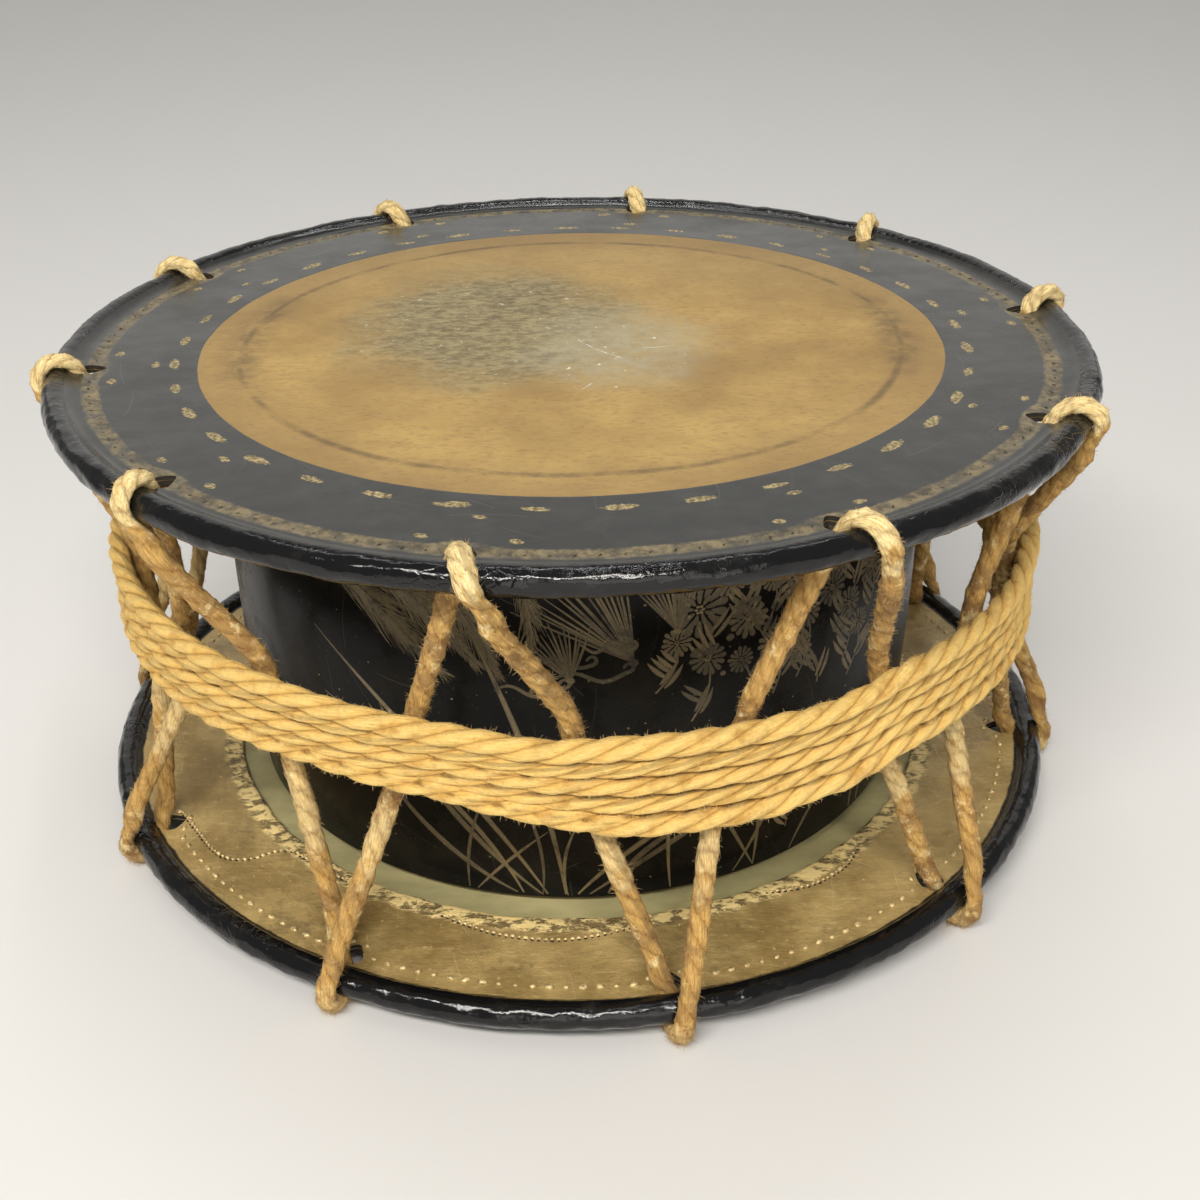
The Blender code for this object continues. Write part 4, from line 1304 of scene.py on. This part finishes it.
# The waist rope's look at each azimuth: how far its rows spread, and how far their middle rises
WAIST_LOOKS = np.array((
    (0, 0.95, 0.0), (200, 0.80, 0.003), (233, 0.70, 0.0055), (240.5, 0.66, 0.006), (256, 0.70, 0.004),
    (260, 0.77, 0.0024), (264, 0.79, 0.0006), (267.5, 0.85, -0.0009), (275, 1.03, -0.0028),
    (291, 1.06, -0.003), (295, 0.97, -0.0024), (299, 1.0, -0.0022), (307, 0.93, 0.0022),
    (330, 0.92, 0.001), (360, 0.95, 0.0),
))
# Each row's height in rows from the middle, its reach from the axis and its thickness
WAIST_ROWS = np.array((
    (1.83, 0.0002, 1.16), (0.93, -0.0001, 1.00), (0.05, 0.0003, 0.96), (-0.85, -0.0002, 1.00),
    (-1.82, 0.0004, 1.17),
))
LOOSE_AZIMUTH = 218


def waist_line():
    """Return the waist rope's points and thickness, its rows squeezed together unevenly."""
    route, knot, tangent = waist_route()
    points = even_route(rounded_route(route), ROUTE_STEP)
    azimuths = np.degrees(np.arctan2(points[:, 1], points[:, 0]))
    azimuth_now = azimuths % 360
    turned = np.degrees(np.unwrap(np.radians(azimuths)))
    turned = turned - turned[0]
    inside = ease((np.minimum(turned, WAIST_SWEEP - turned) - 20) / 30)
    row = np.clip(turned / 360 - 0.5, 0, 4)
    new_rows, reach, swells = (np.interp(row, np.arange(5), WAIST_ROWS[:, i]) for i in range(3))
    apart, middle = (np.interp(azimuth_now, WAIST_LOOKS[:, 0], WAIST_LOOKS[:, i]) for i in (1, 2))
    points[:, 2] += inside * (new_rows * WAIST_PITCH * apart + middle - (2 - row) * WAIST_PITCH)
    flat = points[:, :2] / np.linalg.norm(points[:, :2], axis=1)[:, None]
    points[:, :2] += flat * (inside * (reach + 0.0005 * bumps(points, 22, 31)))[:, None]
    points[:, 2] += inside * 0.0005 * bumps(points, 26, 32)
    swells = swells + 0.05 * bumps(points, 60, 33)
    loose = inside * np.exp(-((azimuth_now - LOOSE_AZIMUTH) / 26) ** 2)
    points[:, 2] += 0.0011 * loose * np.where(row < 1.5, 1, -1) * np.clip(np.abs(row - 1.5) * 4, 0, 1)
    return points, swells * (1 - 0.10 * loose), knot, tangent


def mark_valleys(mesh, points):
    """Store on the waist rope how close each place is to the valley between its row and the next, where its
    finish paints shade.
    """
    along = np.empty(len(mesh.vertices))
    mesh.attributes["along"].data.foreach_get("value", along)
    step = np.linalg.norm(points[1] - points[0])
    azimuths = np.unwrap(np.arctan2(points[:, 1], points[:, 0]))
    turned = azimuths - azimuths[0]
    number = np.clip(np.rint(along / step), 0, len(points) - 1).astype(int)
    rise = vertex_places(mesh)[:, 2] - points[number, 2]
    valley = np.zeros(len(along))
    for way in (-1, 1):
        beside = turned[number] + way * 2 * math.pi
        there = (beside > turned[0]) & (beside < turned[-1])
        gap = np.interp(beside, turned, points[:, 2]) - points[number, 2]
        valley = np.maximum(valley, there * np.exp(-((rise - gap / 2) / 0.0006) ** 2))
    mesh.attributes.new("valley", "FLOAT", "POINT").data.foreach_set("value", valley)


# Marks on the heads

# Patch seams of a hem, each as (azimuth, radius in millimetres)
HEM_SCALLOPS = (
    ((250.5, 133.4), (254.5, 135.9), (259.2, 138.5), (266.5, 139.5), (272.3, 137.0), (276.5, 134.2),
     (279.0, 131.8)),
    ((206.0, 155.8), (209.6, 154.6), (217.6, 154.8), (220.8, 147.2), (221.1, 139.1), (222.9, 133.4),
     (226.7, 133.1)),
    ((229.0, 133.8), (233.5, 132.6), (238.0, 132.9)),
    ((297.0, 131.9), (300.5, 135.2), (304.5, 137.6), (310.0, 137.2), (314.0, 133.6)),
    ((18.0, 132.0), (24.0, 136.5), (33.0, 139.0), (42.0, 136.8), (48.0, 132.2)),
    ((82.0, 132.4), (87.0, 137.8), (93.0, 148.0), (97.0, 154.8), (108.0, 155.2)),
    ((140.0, 131.8), (147.0, 137.2), (156.0, 138.8), (164.0, 135.0), (168.0, 131.9)),
)
BEAD_STEP = 0.0021
MARK_SINK = 0.00012
PRICK_HOLE_TURN = 2.4


def make_marks(name, places, sizes, scatter, sides, seed, finish, *nodes, closed=True):
    """Make a row of marks, one at each place. The sizes are a mark's length, width, height and turn."""
    values = {**dict(zip(("Length", "Width", "Height", "Turn"), sizes)), "Scatter": scatter}
    values.update({"Sides": sides, "Seed": seed, "Finish": finish})
    mesh = grown_mesh(name, curve_data(name, places, closed=closed), marks_on_line, values)
    dress(add_object(name, mesh), "gilded_thread", *nodes)


def seam_radius(past_hole):
    """Return the seam's radius, this many degrees past a lacing hole: it passes inside each hole."""
    apart = min(past_hole % LACE_PITCH, LACE_PITCH - past_hole % LACE_PITCH)
    share = min(apart / math.degrees(SEAM_DETOUR / SEAM_CIRCLE_RADIUS), 1.0)
    inside_hole = min(HOLE_CIRCLE_RADIUS - HOLE_RADIUS - SEAM_MARGIN, SEAM_CIRCLE_RADIUS)
    return SEAM_CIRCLE_RADIUS - (SEAM_CIRCLE_RADIUS - inside_hole) * (1 + math.cos(math.pi * share)) / 2


def seam_places(first_hole, height, count, skip_holes=0.0):
    """Return the places of this many stitches beside a roll."""
    places = []
    for i in range(count):
        azimuth = 360 * i / count
        past = (azimuth - first_hole) % LACE_PITCH
        if min(past, LACE_PITCH - past) >= skip_holes:
            places.append(polar(seam_radius(azimuth - first_hole), azimuth, height))
    return places


def make_face_marks(prefix, height, way_up, first_hole):
    """Make the dark pricks of a head's seam."""
    places = seam_places(first_hole, height - way_up * MARK_SINK, PRICK_COUNT, PRICK_HOLE_TURN)
    make_marks(prefix + "_seam_pricks", places, (0.0014, 0.00055, 0.00045, 0.9), 0.45, 7, 9, dark_thread)


def make_hem_marks(prefix, height, way_up, first_hole):
    """Make the gilded stitches on a hem: the row beside the roll and the scalloped patch seams."""
    level = height + way_up * (HEM_FACE - MARK_SINK)
    stitches = seam_places(first_hole, level, HEM_STITCH_COUNT)
    sizes = (0.0026, 0.0017, 0.0013, 0.12)
    make_marks(
        prefix + "_hem_stitches", stitches, sizes, 0.40, 8, 13, gilded_thread, prefix + "_seam_thread",
    )
    beads = ((0.0016, 0.0013, 0.0011, 0.12), 0.5, 8, 17, gilded_thread)
    pits = ((0.0012, 0.0008, 0.0004, 0.12), 0.5, 8, 19, dark_thread)
    for number, scallop in enumerate(HEM_SCALLOPS):
        corners = [polar(radius / 1000, azimuth * -way_up, level) for azimuth, radius in scallop]
        places = [Vector(place) for place in even_route(rounded_route(corners, 3), BEAD_STEP)]
        make_marks(f"{prefix}_patch_seam_{number + 1}", places, *beads, closed=False)
        beside = [place * (1 + 0.0009 / math.hypot(place.x, place.y)) for place in places]
        beside = [Vector((place.x, place.y, level)) for place in beside]
        make_marks(f"{prefix}_patch_pricks_{number + 1}", beside, *pits, closed=False)


# Body

BODY_TURNS = 240
BODY_STEPS = 36
OUTSIDE, BARE = range(2)


def body_radius(height):
    """Return the body's outer radius at a height."""
    share = (height - BODY_FOOT_HEIGHT - EDGE_OUTER_DROP) / (BODY_HEIGHT - 2 * EDGE_OUTER_DROP)
    share = min(max(share, 0.0), 1.0)
    return BODY_END_RADIUS + (BODY_MID_RADIUS - BODY_END_RADIUS) * math.sin(math.pi * share)


def body_section():
    """Return the body wall's section as (radius, height, zone): lacquered outside, bare wood elsewhere."""
    crest = (EDGE_CREST_RADIUS + BODY_END_RADIUS) / 2
    foot = [
        (BODY_BORE_RADIUS, EDGE_INNER_DROP, BARE),
        (EDGE_CREST_RADIUS - 0.75 * EDGE_INNER_DROP, EDGE_INNER_DROP / 5, BARE),
        (EDGE_CREST_RADIUS - EDGE_INNER_DROP / 2, EDGE_INNER_DROP / 8, BARE),
        (EDGE_CREST_RADIUS, 0.0, BARE),
        (crest, EDGE_OUTER_DROP / 4, BARE),
        ((crest + BODY_END_RADIUS) / 2, EDGE_OUTER_DROP / 2, OUTSIDE),
    ]
    outline = list(foot)
    for i in range(BODY_STEPS + 1):
        rise = EDGE_OUTER_DROP + (BODY_HEIGHT - 2 * EDGE_OUTER_DROP) * i / BODY_STEPS
        outline.append((body_radius(BODY_FOOT_HEIGHT + rise), rise, OUTSIDE))
    return outline + [(radius, BODY_HEIGHT - rise, zone) for radius, rise, zone in reversed(foot)]


def make_body():
    """Make the turned body."""
    rings = []
    azimuths = np.radians(np.arange(BODY_TURNS) * 360 / BODY_TURNS)
    section = body_section()
    for radius, rise, zone in section:
        flat = np.stack([radius * np.cos(azimuths), radius * np.sin(azimuths), np.full(BODY_TURNS, rise)], 1)
        far = radius + (0.0 if zone == OUTSIDE else 0.00006) * bumps(flat, 30, 41)
        height = np.full(BODY_TURNS, BODY_FOOT_HEIGHT + rise)
        rings.append(np.stack([far * np.cos(azimuths), far * np.sin(azimuths), height], 1))
    mesh = grid_mesh("drum_body", rings, [zone for radius, rise, zone in section])
    mesh.set_sharp_from_angle(angle=math.radians(35))
    body = add_object("drum_body", mesh, body_lacquer_finish(), raw_wood_finish())
    dress(body, "body_lacquer", "body_shell")


# The body's painting

# A stroke's section, from one edge to the other: how far across, and whether it stands off the lacquer
STROKE_SECTION = ((-1, False), (-0.9, True), (-0.45, True), (0, True), (0.45, True), (0.9, True), (1, False))
HAIRLINE_SECTION = ((-1, False), (0, True), (1, False))
HAIRLINE_WIDTH = 0.65
STROKE_ROOT = 0.00004
STROKE_LIFT = 0.00007
PAINTING_AZIMUTH = 262
# The painting's limits and the ground its grass grows from, in millimetres above the floor
PAINTING_FOOT = 13.5
PAINTING_TOP = 156.5
GROUND = 14.5


class Painting:
    """Gathers brush strokes on the body's outside, in millimetres along it and above the floor."""

    def __init__(self, azimuth, chance):
        self.azimuth = azimuth
        self.chance = chance
        self.verts = []
        self.faces = []
        self.looks = []

    def stroke(self, line, widths, tone, lift=STROKE_LIFT):
        """Lay one stroke: a thin closed plate along a line of (across, height) points."""
        line = np.array(line, float)
        ways = np.gradient(line, axis=0)
        ways /= np.linalg.norm(ways, axis=1)[:, None] + 1e-9
        first = len(self.verts)
        section = HAIRLINE_SECTION if max(widths) < HAIRLINE_WIDTH else STROKE_SECTION
        for place, way, width, along in zip(line, ways, widths, travel_along(line)):
            for share, raised in section:
                u = place[0] - way[1] * width / 2 * share
                height = (place[1] + way[0] * width / 2 * share) / 1000
                turn = self.azimuth + math.degrees(u / 1000 / BODY_MID_RADIUS)
                radius = body_radius(height) + (lift if raised else -STROKE_ROOT)
                self.verts.append(polar(radius, turn, height))
                self.looks.append((tone, along / 10, share))
        ring = len(section)
        last = first + ring * (len(line) - 1)
        for a in range(first, last, ring):
            for j in range(ring):
                k = (j + 1) % ring
                self.faces.append((a + j, a + k, a + ring + k, a + ring + j))
        self.faces.append(tuple(first + j for j in reversed(range(ring))))
        self.faces.append(tuple(last + j for j in range(ring)))

    def arc(self, root, angle, reach, width, tone, bend=0.0, steps=9, blunt=0.12, lift=STROKE_LIFT):
        """Lay a curved tapering stroke from its root, the angle in degrees and the bend in radians."""
        place = np.array(root, float)
        line = [place]
        for i in range(steps):
            way = math.radians(angle) + bend * (i + 0.5) / steps
            place = place + reach / steps * np.array((math.cos(way), math.sin(way)))
            line.append(place)
        shares = np.linspace(0, 1, steps + 1)
        widths = [width * max(math.sin(math.pi * (0.10 + 0.86 * share)), blunt) for share in shares]
        self.stroke([(u, min(max(v, PAINTING_FOOT), PAINTING_TOP)) for u, v in line], widths, tone, lift)

    def leaf(self, root, angle, reach, width, tone, bend=0.0):
        """Lay a leaf as two halves beside a dark midrib."""
        side = np.array((-math.sin(math.radians(angle)), math.cos(math.radians(angle))))
        for half in (-1, 1):
            start = np.array(root) + side * half * width * 0.27
            self.arc(start, angle + half * 3, reach, width * 0.48, tone, bend - half * 0.11, 8)

    def petal(self, centre, angle, inner, outer, width, tone, lift):
        """Lay one narrow petal with a round tip."""
        x, y = math.cos(math.radians(angle)), math.sin(math.radians(angle))
        reaches = [inner + (outer - inner) * share for share in (0.0, 0.35, 0.7, 0.9, 1.0)]
        line = [(centre[0] + x * reach, centre[1] + y * reach) for reach in reaches]
        self.stroke(line, [width * share for share in (0.35, 0.75, 1.0, 0.85, 0.35)], tone, lift)

    def flower(self, centre, size):
        """Lay a chrysanthemum: a ring of narrow petals, a shorter one on it, and a dotted heart."""
        turn = self.chance.uniform(0, 24)
        tone = self.chance.uniform(0.0, 0.6)
        for count, inner, outer, width, lift in ((14, 0.20, 0.50, 0.155, 6e-5), (9, 0.10, 0.28, 0.11, 12e-5)):
            for i in range(count):
                reach = outer * size * self.chance.uniform(0.9, 1.05)
                angle = turn + 360 * i / count
                self.petal(centre, angle, inner * size, reach, width * size, tone, lift)
        for i in range(6):
            angle = math.radians(60 * i)
            heart = (centre[0] + 0.06 * size * math.cos(angle), centre[1] + 0.06 * size * math.sin(angle))
            self.dot(heart, 0.055 * size, 1.0, 18e-5)

    def dot(self, centre, size, tone, lift=0.00010):
        """Lay a small round dot."""
        line = [(centre[0] + size * s, centre[1]) for s in (-0.5, -0.2, 0.2, 0.5)]
        self.stroke(line, (0.35 * size, size, size, 0.35 * size), tone, lift)

    def blades(self, count, places, angles, reaches, width):
        """Lay bent blades of grass that rise from the ground, with chance within these limits."""
        for _ in range(count):
            root = (self.chance.uniform(*places), GROUND)
            angle = self.chance.uniform(*angles)
            reach = self.chance.uniform(*reaches)
            tone = self.chance.random()
            self.arc(root, angle, reach, width, tone, self.chance.uniform(-0.9, 0.9), 12)

    def plume(self, spine, reach, count, tone):
        """Lay a soft plume of grass: many fine hairs off both sides of a spine."""
        spine = even_route(rounded_route([Vector((u, v, 0)) for u, v in spine], 2), 1.0)[:, :2]
        for _ in range(count):
            share = self.chance.random()
            place = share * (len(spine) - 2)
            number = int(place)
            root = spine[number] + (place - number) * (spine[number + 1] - spine[number])
            way = spine[min(number + 4, len(spine) - 1)] - spine[max(number - 4, 0)]
            lean = self.chance.choice((-1, 1)) * self.chance.uniform(8, 44)
            hair = reach * (0.35 + math.sin(math.pi * min(share + 0.12, 1.0))) * self.chance.uniform(0.5, 1.1)
            angle = math.degrees(math.atan2(way[1], way[0])) + lean
            width = self.chance.uniform(0.30, 0.62)
            shade = min(max(tone + self.chance.uniform(-0.3, 0.3), 0.0), 1.0)
            lift = self.chance.uniform(3e-5, 1.1e-4)
            self.arc(root, angle, hair, width, shade, -0.012 * lean, 5, 0.3, lift)

    def mesh(self, name):
        """Return the painting as a mesh with each stroke's tone and brush direction."""
        mesh = solid_mesh(name, self.verts, self.faces)
        for label, values in zip(("tone", "along", "across"), zip(*self.looks)):
            mesh.attributes.new(label, "FLOAT", "POINT").data.foreach_set("value", values)
        mesh.set_sharp_from_angle(angle=math.radians(40))
        return mesh


def paint_plumes(paint, chance):
    """Paint plumes of pampas grass, with their stalks and arching blades."""
    for reach, count, spine in (
        (15, 680, ((-88, 138), (-66, 130), (-44, 116), (-24, 97))),
        (14, 620, ((-66, 143), (-48, 134), (-30, 120), (-13, 102))),
        (12, 430, ((-38, 141), (-26, 131), (-14, 116), (-6, 98))),
        (8, 170, ((-4, 140), (2, 128), (4, 114), (3, 100))),
    ):
        paint.plume(spine, reach, count, 0.5)
        paint.stroke(spine, (0.9, 0.9, 0.8, 0.5), 0.6)
    for foot, angle, reach, bend in (
        (6, 118, 118, 0.5), (-2, 112, 96, 0.9), (12, 96, 110, 0.35), (4, 138, 84, -0.35),
        (16, 52, 64, -0.6), (20, 38, 74, -0.25), (-4, 152, 66, -0.5), (26, 66, 44, -0.9),
    ):
        paint.arc((foot, 15), angle, reach, 2.3, chance.uniform(0.2, 0.9), bend, 22, 0.1)
    paint.blades(4, (-24, 34), (48, 136), (24, 50), 1.3)


def paint_pine(paint, chance):
    """Paint fans of pine needles over curling mist."""
    for root, angle, open_by, reach, count in (
        ((34, 103), 122, 58, 40, 17), ((15, 98), 104, 70, 22, 13), ((47, 112), 96, 64, 24, 13),
        ((38, 52), 118, 72, 20, 12),
    ):
        for i in range(count):
            way = angle + open_by * (i / (count - 1) - 0.5) + chance.uniform(-1.5, 1.5)
            needle = reach * chance.uniform(0.78, 1.05)
            width = chance.uniform(0.75, 1.05)
            paint.arc(root, way, needle, width, chance.uniform(0.1, 0.7), 0.12, 9, 0.25)
        paint.dot(root, 2.6, 0.8)
    for base, start, span in (
        (104, -3, 24), (99, 6, 26), (94, -8, 21), (109, 18, 15), (60, 30, 26), (54, 40, 20),
    ):
        line = [(start + span * s, base + 1.6 * math.sin(8.5 * s + base)) for s in np.linspace(0, 1, 22)]
        u, v = line[-1]
        for a in np.linspace(0.4, 4.4, 9):
            line.append((u + 2.2 * math.sin(a) * (1 - a / 9), v + 2.2 * (1 - math.cos(a)) * (1 - a / 9)))
        widths = [0.5 + 1.1 * math.sin(math.pi * min(0.08 + 0.8 * s, 1)) for s in np.linspace(0, 1, 31)]
        paint.stroke(line, widths, chance.uniform(0.0, 0.5))


# The flowers' places and sizes
FLOWERS = (
    (54, 118, 19), (72, 133, 17), (70, 112, 14), (88, 121, 17), (60, 137, 13), (86, 139, 13), (101, 134, 15),
    (103, 112, 13), (80, 101, 12), (57, 101, 12), (96, 54, 14), (112, 44, 12), (82, 40, 11), (118, 126, 12),
    (93, 107, 11), (79, 123, 10), (64, 125, 10), (112, 103, 12), (95, 128, 9), (108, 120, 10), (124, 112, 13),
    (68, 98, 9), (90, 95, 10), (126, 134, 11), (47, 108, 10), (118, 94, 10),
)


def paint_flowers(paint, chance):
    """Paint a stand of chrysanthemums with stems, leaves and buds."""
    for u, v, size in FLOWERS:
        foot = (u + chance.uniform(-7, 9), v - chance.uniform(14, 22))
        shares = np.linspace(0, 1, 16)
        stem = [(u + (foot[0] - u) * s + 3 * math.sin(3 * s), v + (foot[1] - v) * s) for s in shares]
        paint.stroke(stem, [0.7] * 16, 0.4, 0.00004)
        for place in range(7, 15, 3):
            if chance.random() < 0.9:
                side = chance.choice((-1, 1))
                angle = 90 - side * chance.uniform(28, 66)
                paint.leaf(stem[place], angle, chance.uniform(7, 11), 3.8, chance.random(), side * 0.3)
    for u, v, size in FLOWERS:
        paint.flower((u, v), size)
    for _ in range(12):
        bud = (chance.uniform(48, 120), chance.uniform(88, 150))
        paint.dot(bud, chance.uniform(1.8, 2.8), chance.random())
    paint.blades(9, (44, 150), (52, 128), (20, 52), 1.5)


def make_painting():
    """Make the body's gold painting: pampas plumes, pine needles and chrysanthemums, with sprinkled dust."""
    chance = random.Random(12)
    gold_painting = gold_paint_finish()
    for third in range(3):
        paint = Painting(PAINTING_AZIMUTH + 120 * third, chance)
        paint_plumes(paint, chance)
        paint_pine(paint, chance)
        paint_flowers(paint, chance)
        for _ in range(110):
            place = (chance.uniform(-100, 156), chance.uniform(16, 154))
            paint.dot(place, chance.uniform(0.3, 0.8), chance.uniform(0.3, 1.0))
        name = f"body_painting_{third + 1}"
        dress(add_object(name, paint.mesh(name), gold_painting), "body_lacquer")


# Room and camera. Its focal length and shift are in pixels, its pitch in degrees and its roll in radians.

PHOTO_WIDTH = 1200
SENSOR_WIDTH = 36.0
FOCAL_LENGTH = 1563.44
CAMERA_SHIFT = (23.551, 33.792)
CAMERA_PITCH = 30.507
CAMERA_ROLL = -0.018983
CAMERA_PLACE = (0.0, -0.5134, 0.3447)

# Lights as name, place, target, size, power and colour
LIGHTS = (
    ("front_tube", (-0.3, -1.35, 1.55), (0, 0, 0.08), (1.6, 0.22), 42, (1.0, 0.96, 0.90)),
    ("front_fill", (0.3, -1.9, 0.6), (0, 0, 0.08), (1.6, 1.0), 9, (1.0, 0.97, 0.92)),
    ("wall_light", (0.0, 2.4, 1.3), (0, 0, 0.6), (4.2, 2.0), 14, (1.0, 0.98, 0.92)),
    ("top_strip_near", (0.1, 0.02, 1.5), (0, 0, 0.1), (1.5, 0.012), 2.5, (1.0, 1.0, 1.0)),
    ("top_strip_far", (-0.1, 0.55, 1.5), (0, 0, 0.1), (1.5, 0.02), 3.4, (1.0, 1.0, 1.0)),
)


def make_camera():
    """Set the camera where the photograph was taken from."""
    data = bpy.data.cameras.new("camera")
    data.sensor_width = SENSOR_WIDTH
    data.lens = SENSOR_WIDTH * FOCAL_LENGTH / PHOTO_WIDTH
    data.shift_x, data.shift_y = (shift / PHOTO_WIDTH for shift in CAMERA_SHIFT)
    pitch = math.radians(CAMERA_PITCH)
    forward = Vector((0.0, math.cos(pitch), -math.sin(pitch)))
    level = Vector((1.0, 0.0, 0.0))
    upright = level.cross(forward)
    right = level * math.cos(CAMERA_ROLL) + upright * math.sin(CAMERA_ROLL)
    up = -level * math.sin(CAMERA_ROLL) + upright * math.cos(CAMERA_ROLL)
    turn = Matrix((right, up, -forward)).transposed().to_4x4()
    camera = add_object("camera", data)
    camera.matrix_world = Matrix.Translation(CAMERA_PLACE) @ turn
    bpy.context.scene.camera = camera


def make_lights():
    """Add soft rectangular lights that point at their targets."""
    for name, place, target, size, power, colour in LIGHTS:
        data = bpy.data.lights.new(name, "AREA")
        data.shape = "RECTANGLE"
        data.size, data.size_y = size
        data.energy = power
        data.color = colour
        light = add_object(name, data)
        light.location = place
        light.rotation_euler = (Vector(target) - Vector(place)).to_track_quat("-Z", "Y").to_euler()


def make_room():
    """Add the floor and the pale surroundings."""
    mesh = bpy.data.meshes.new("floor")
    mesh.from_pydata([(-4, -4, 0), (4, -4, 0), (4, 4, 0), (-4, 4, 0)], [], [(0, 1, 2, 3)])
    shades = ((0.69, 0.685, 0.675), (0.71, 0.705, 0.695))
    pale = mottled_finish("pale_floor", (0.70, 0.695, 0.685), 0.6, shades, (3.0, 1.0, 4.0))
    floor = add_object("floor", mesh, pale)
    world = bpy.data.worlds.new("pale_room")
    world.use_nodes = True
    background = world.node_tree.nodes["Background"].inputs
    background["Color"].default_value = (1.0, 0.985, 0.95, 1.0)
    background["Strength"].default_value = 0.25
    bpy.context.scene.world = world
    bpy.context.scene.view_settings.view_transform = "Standard"


make_camera()
make_room()
make_lights()

laid_rope = rope_tree()
loose_fibres = fuzz_tree()
marks_on_line = marks_tree()

lacing_fibre = rope_finish(
    "golden_lacing",
    ((0.075, 0.035, 0.008), (0.220, 0.096, 0.018), (0.40, 0.197, 0.038), (0.67, 0.395, 0.098),
     (1.00, 0.82, 0.42)),
    groove=(0.88, 0.95, 0.40, 0.25, 0.12), seed=4.0, stains=(0.46, 0.56), bleached_share=0.75, bands=0.007,
    pale_heights=((0.155, 0.185, 1.0), (0.050, 0.073, 0.6), (-0.010, 0.010, 0.4)),
)
waist_fibre = rope_finish(
    "straw_rope",
    ((0.22, 0.115, 0.018), (0.56, 0.300, 0.062), (0.82, 0.485, 0.120), (0.96, 0.665, 0.205),
     (0.99, 0.76, 0.30)),
    groove=(0.68, 0.82, 0.70, 0.60, 0.38), seed=1.0, stains=(0.50, 0.66), bleached_share=0.22,
)
common = {"Hand": -1.0, "Step": ROPE_STEP, "Sides": STRAND_SIDES}
lacing_values = {
    "Radius": LACE_RADIUS, "Lay length": LACE_LAY, "Strand share": 0.84, "Roughness": 0.0024, "Seed": 1.0,
    "Finish": lacing_fibre, **common,
}
waist_values = {
    "Radius": WAIST_RADIUS, "Lay length": WAIST_LAY, "Strand share": 0.62, "Roughness": 0.0010, "Seed": 2.0,
    "Finish": waist_fibre, **common,
}
lace_points, lace_swells, lace_knot, lace_way = lacing_line()
lacing = make_rope("lacing", lace_points, lace_swells, lacing_values, "lacing", "lacing_rope", pressed=True)
waist_points, waist_swells, waist_knot, waist_way = waist_line()
waist = make_rope("waist_winding", waist_points, waist_swells, waist_values, "waist_rope", "waist_rope")
mark_valleys(waist.data, waist_points)

coils = knot_line(lace_knot, lace_way, LACE_KNOT_RADIUS, LACE_RADIUS)
knot_values = dict(lacing_values, Radius=KNOT_ROPE_RADIUS)
make_rope("lacing_knot_coils", coils, None, knot_values, "lacing", "lacing_knot")
coils = knot_line(waist_knot, waist_way, WAIST_KNOT_RADIUS, WAIST_RADIUS)
knot_values = dict(waist_values, Radius=KNOT_ROPE_RADIUS)
make_rope("waist_knot_coils", coils, None, knot_values, "waist_rope", "waist_knot")

lacing_fluff = fuzz_finish("lacing_fluff", (0.66, 0.44, 0.17))
waist_fluff = fuzz_finish("straw_rope_fluff", (0.92, 0.66, 0.27))
for name, rope, slot, fluff, seed, density, reach, thickness, below in (
    ("lacing_fuzz", lacing, "lacing", lacing_fluff, 4, 165000.0, 0.0013, 0.000055, 1.0),
    ("loop_tufts", lacing, "lacing", lacing_fluff, 14, 800000.0, 0.0019, 0.00006, 0.005),
    ("waist_fuzz", waist, "waist_rope", waist_fluff, 8, 220000.0, 0.0012, 0.00005, 1.0),
):
    sizes = {"Density": density, "Length": reach, "Thickness": thickness, "Below": below}
    make_fuzz(name, rope, slot, fluff, seed, **sizes)

rise, top, fall, low = lace(0)
top_hole = azimuth_at(rise[1], top[0], TOP_FACE_HEIGHT)
low_hole = azimuth_at(fall[1], low[0], LOW_FACE_HEIGHT)
dark_shades = ((0.012, 0.010, 0.008), (0.050, 0.038, 0.024))
gilded_thread = stitch_finish("gilded_stitch", ((0.30, 0.215, 0.090), (0.86, 0.67, 0.33)), 0.40, 0.25, 700.0)
dark_thread = stitch_finish("dark_stitch", dark_shades, 0.6, 0.0, 500.0)
bare_hide = bare_hide_finish()
cut_shades = ((0.005, 0.004, 0.003), (0.030, 0.023, 0.014))
cut_edge = mottled_finish(
    "cut_hide_edge", (0.03, 0.024, 0.016), 0.8, cut_shades, (700.0, 1.0, 3.0, 0.7), bump=(0.0004,)
)
heads = (("upper", TOP_FACE_HEIGHT, 1, top_hole), ("lower", LOW_FACE_HEIGHT, -1, low_hole))
for head, worn, roll_seed, hem_seed, seed in zip(heads, (1.0, 0.6), (1.0, 5.0), (3.0, 6.0), (1.0, 2.0)):
    prefix, first_hole = head[0], head[-1]
    face = head_face_finish(prefix + "_head_face", first_hole, worn)
    roll = roll_finish(prefix + "_roll", roll_seed)
    hem = hem_finish(prefix + "_hem", hem_seed)
    make_head(*head, (face, roll, hem, bare_hide, cut_edge), seed)
for head in heads:
    make_face_marks(*head)
for head in heads:
    make_hem_marks(*head)
make_body()
make_painting()

iron = iron_finish()
for node_name in ("upper_iron_ring", "lower_iron_ring"):
    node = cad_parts[node_name]
    node.data.materials.clear()
    node.data.materials.append(iron)
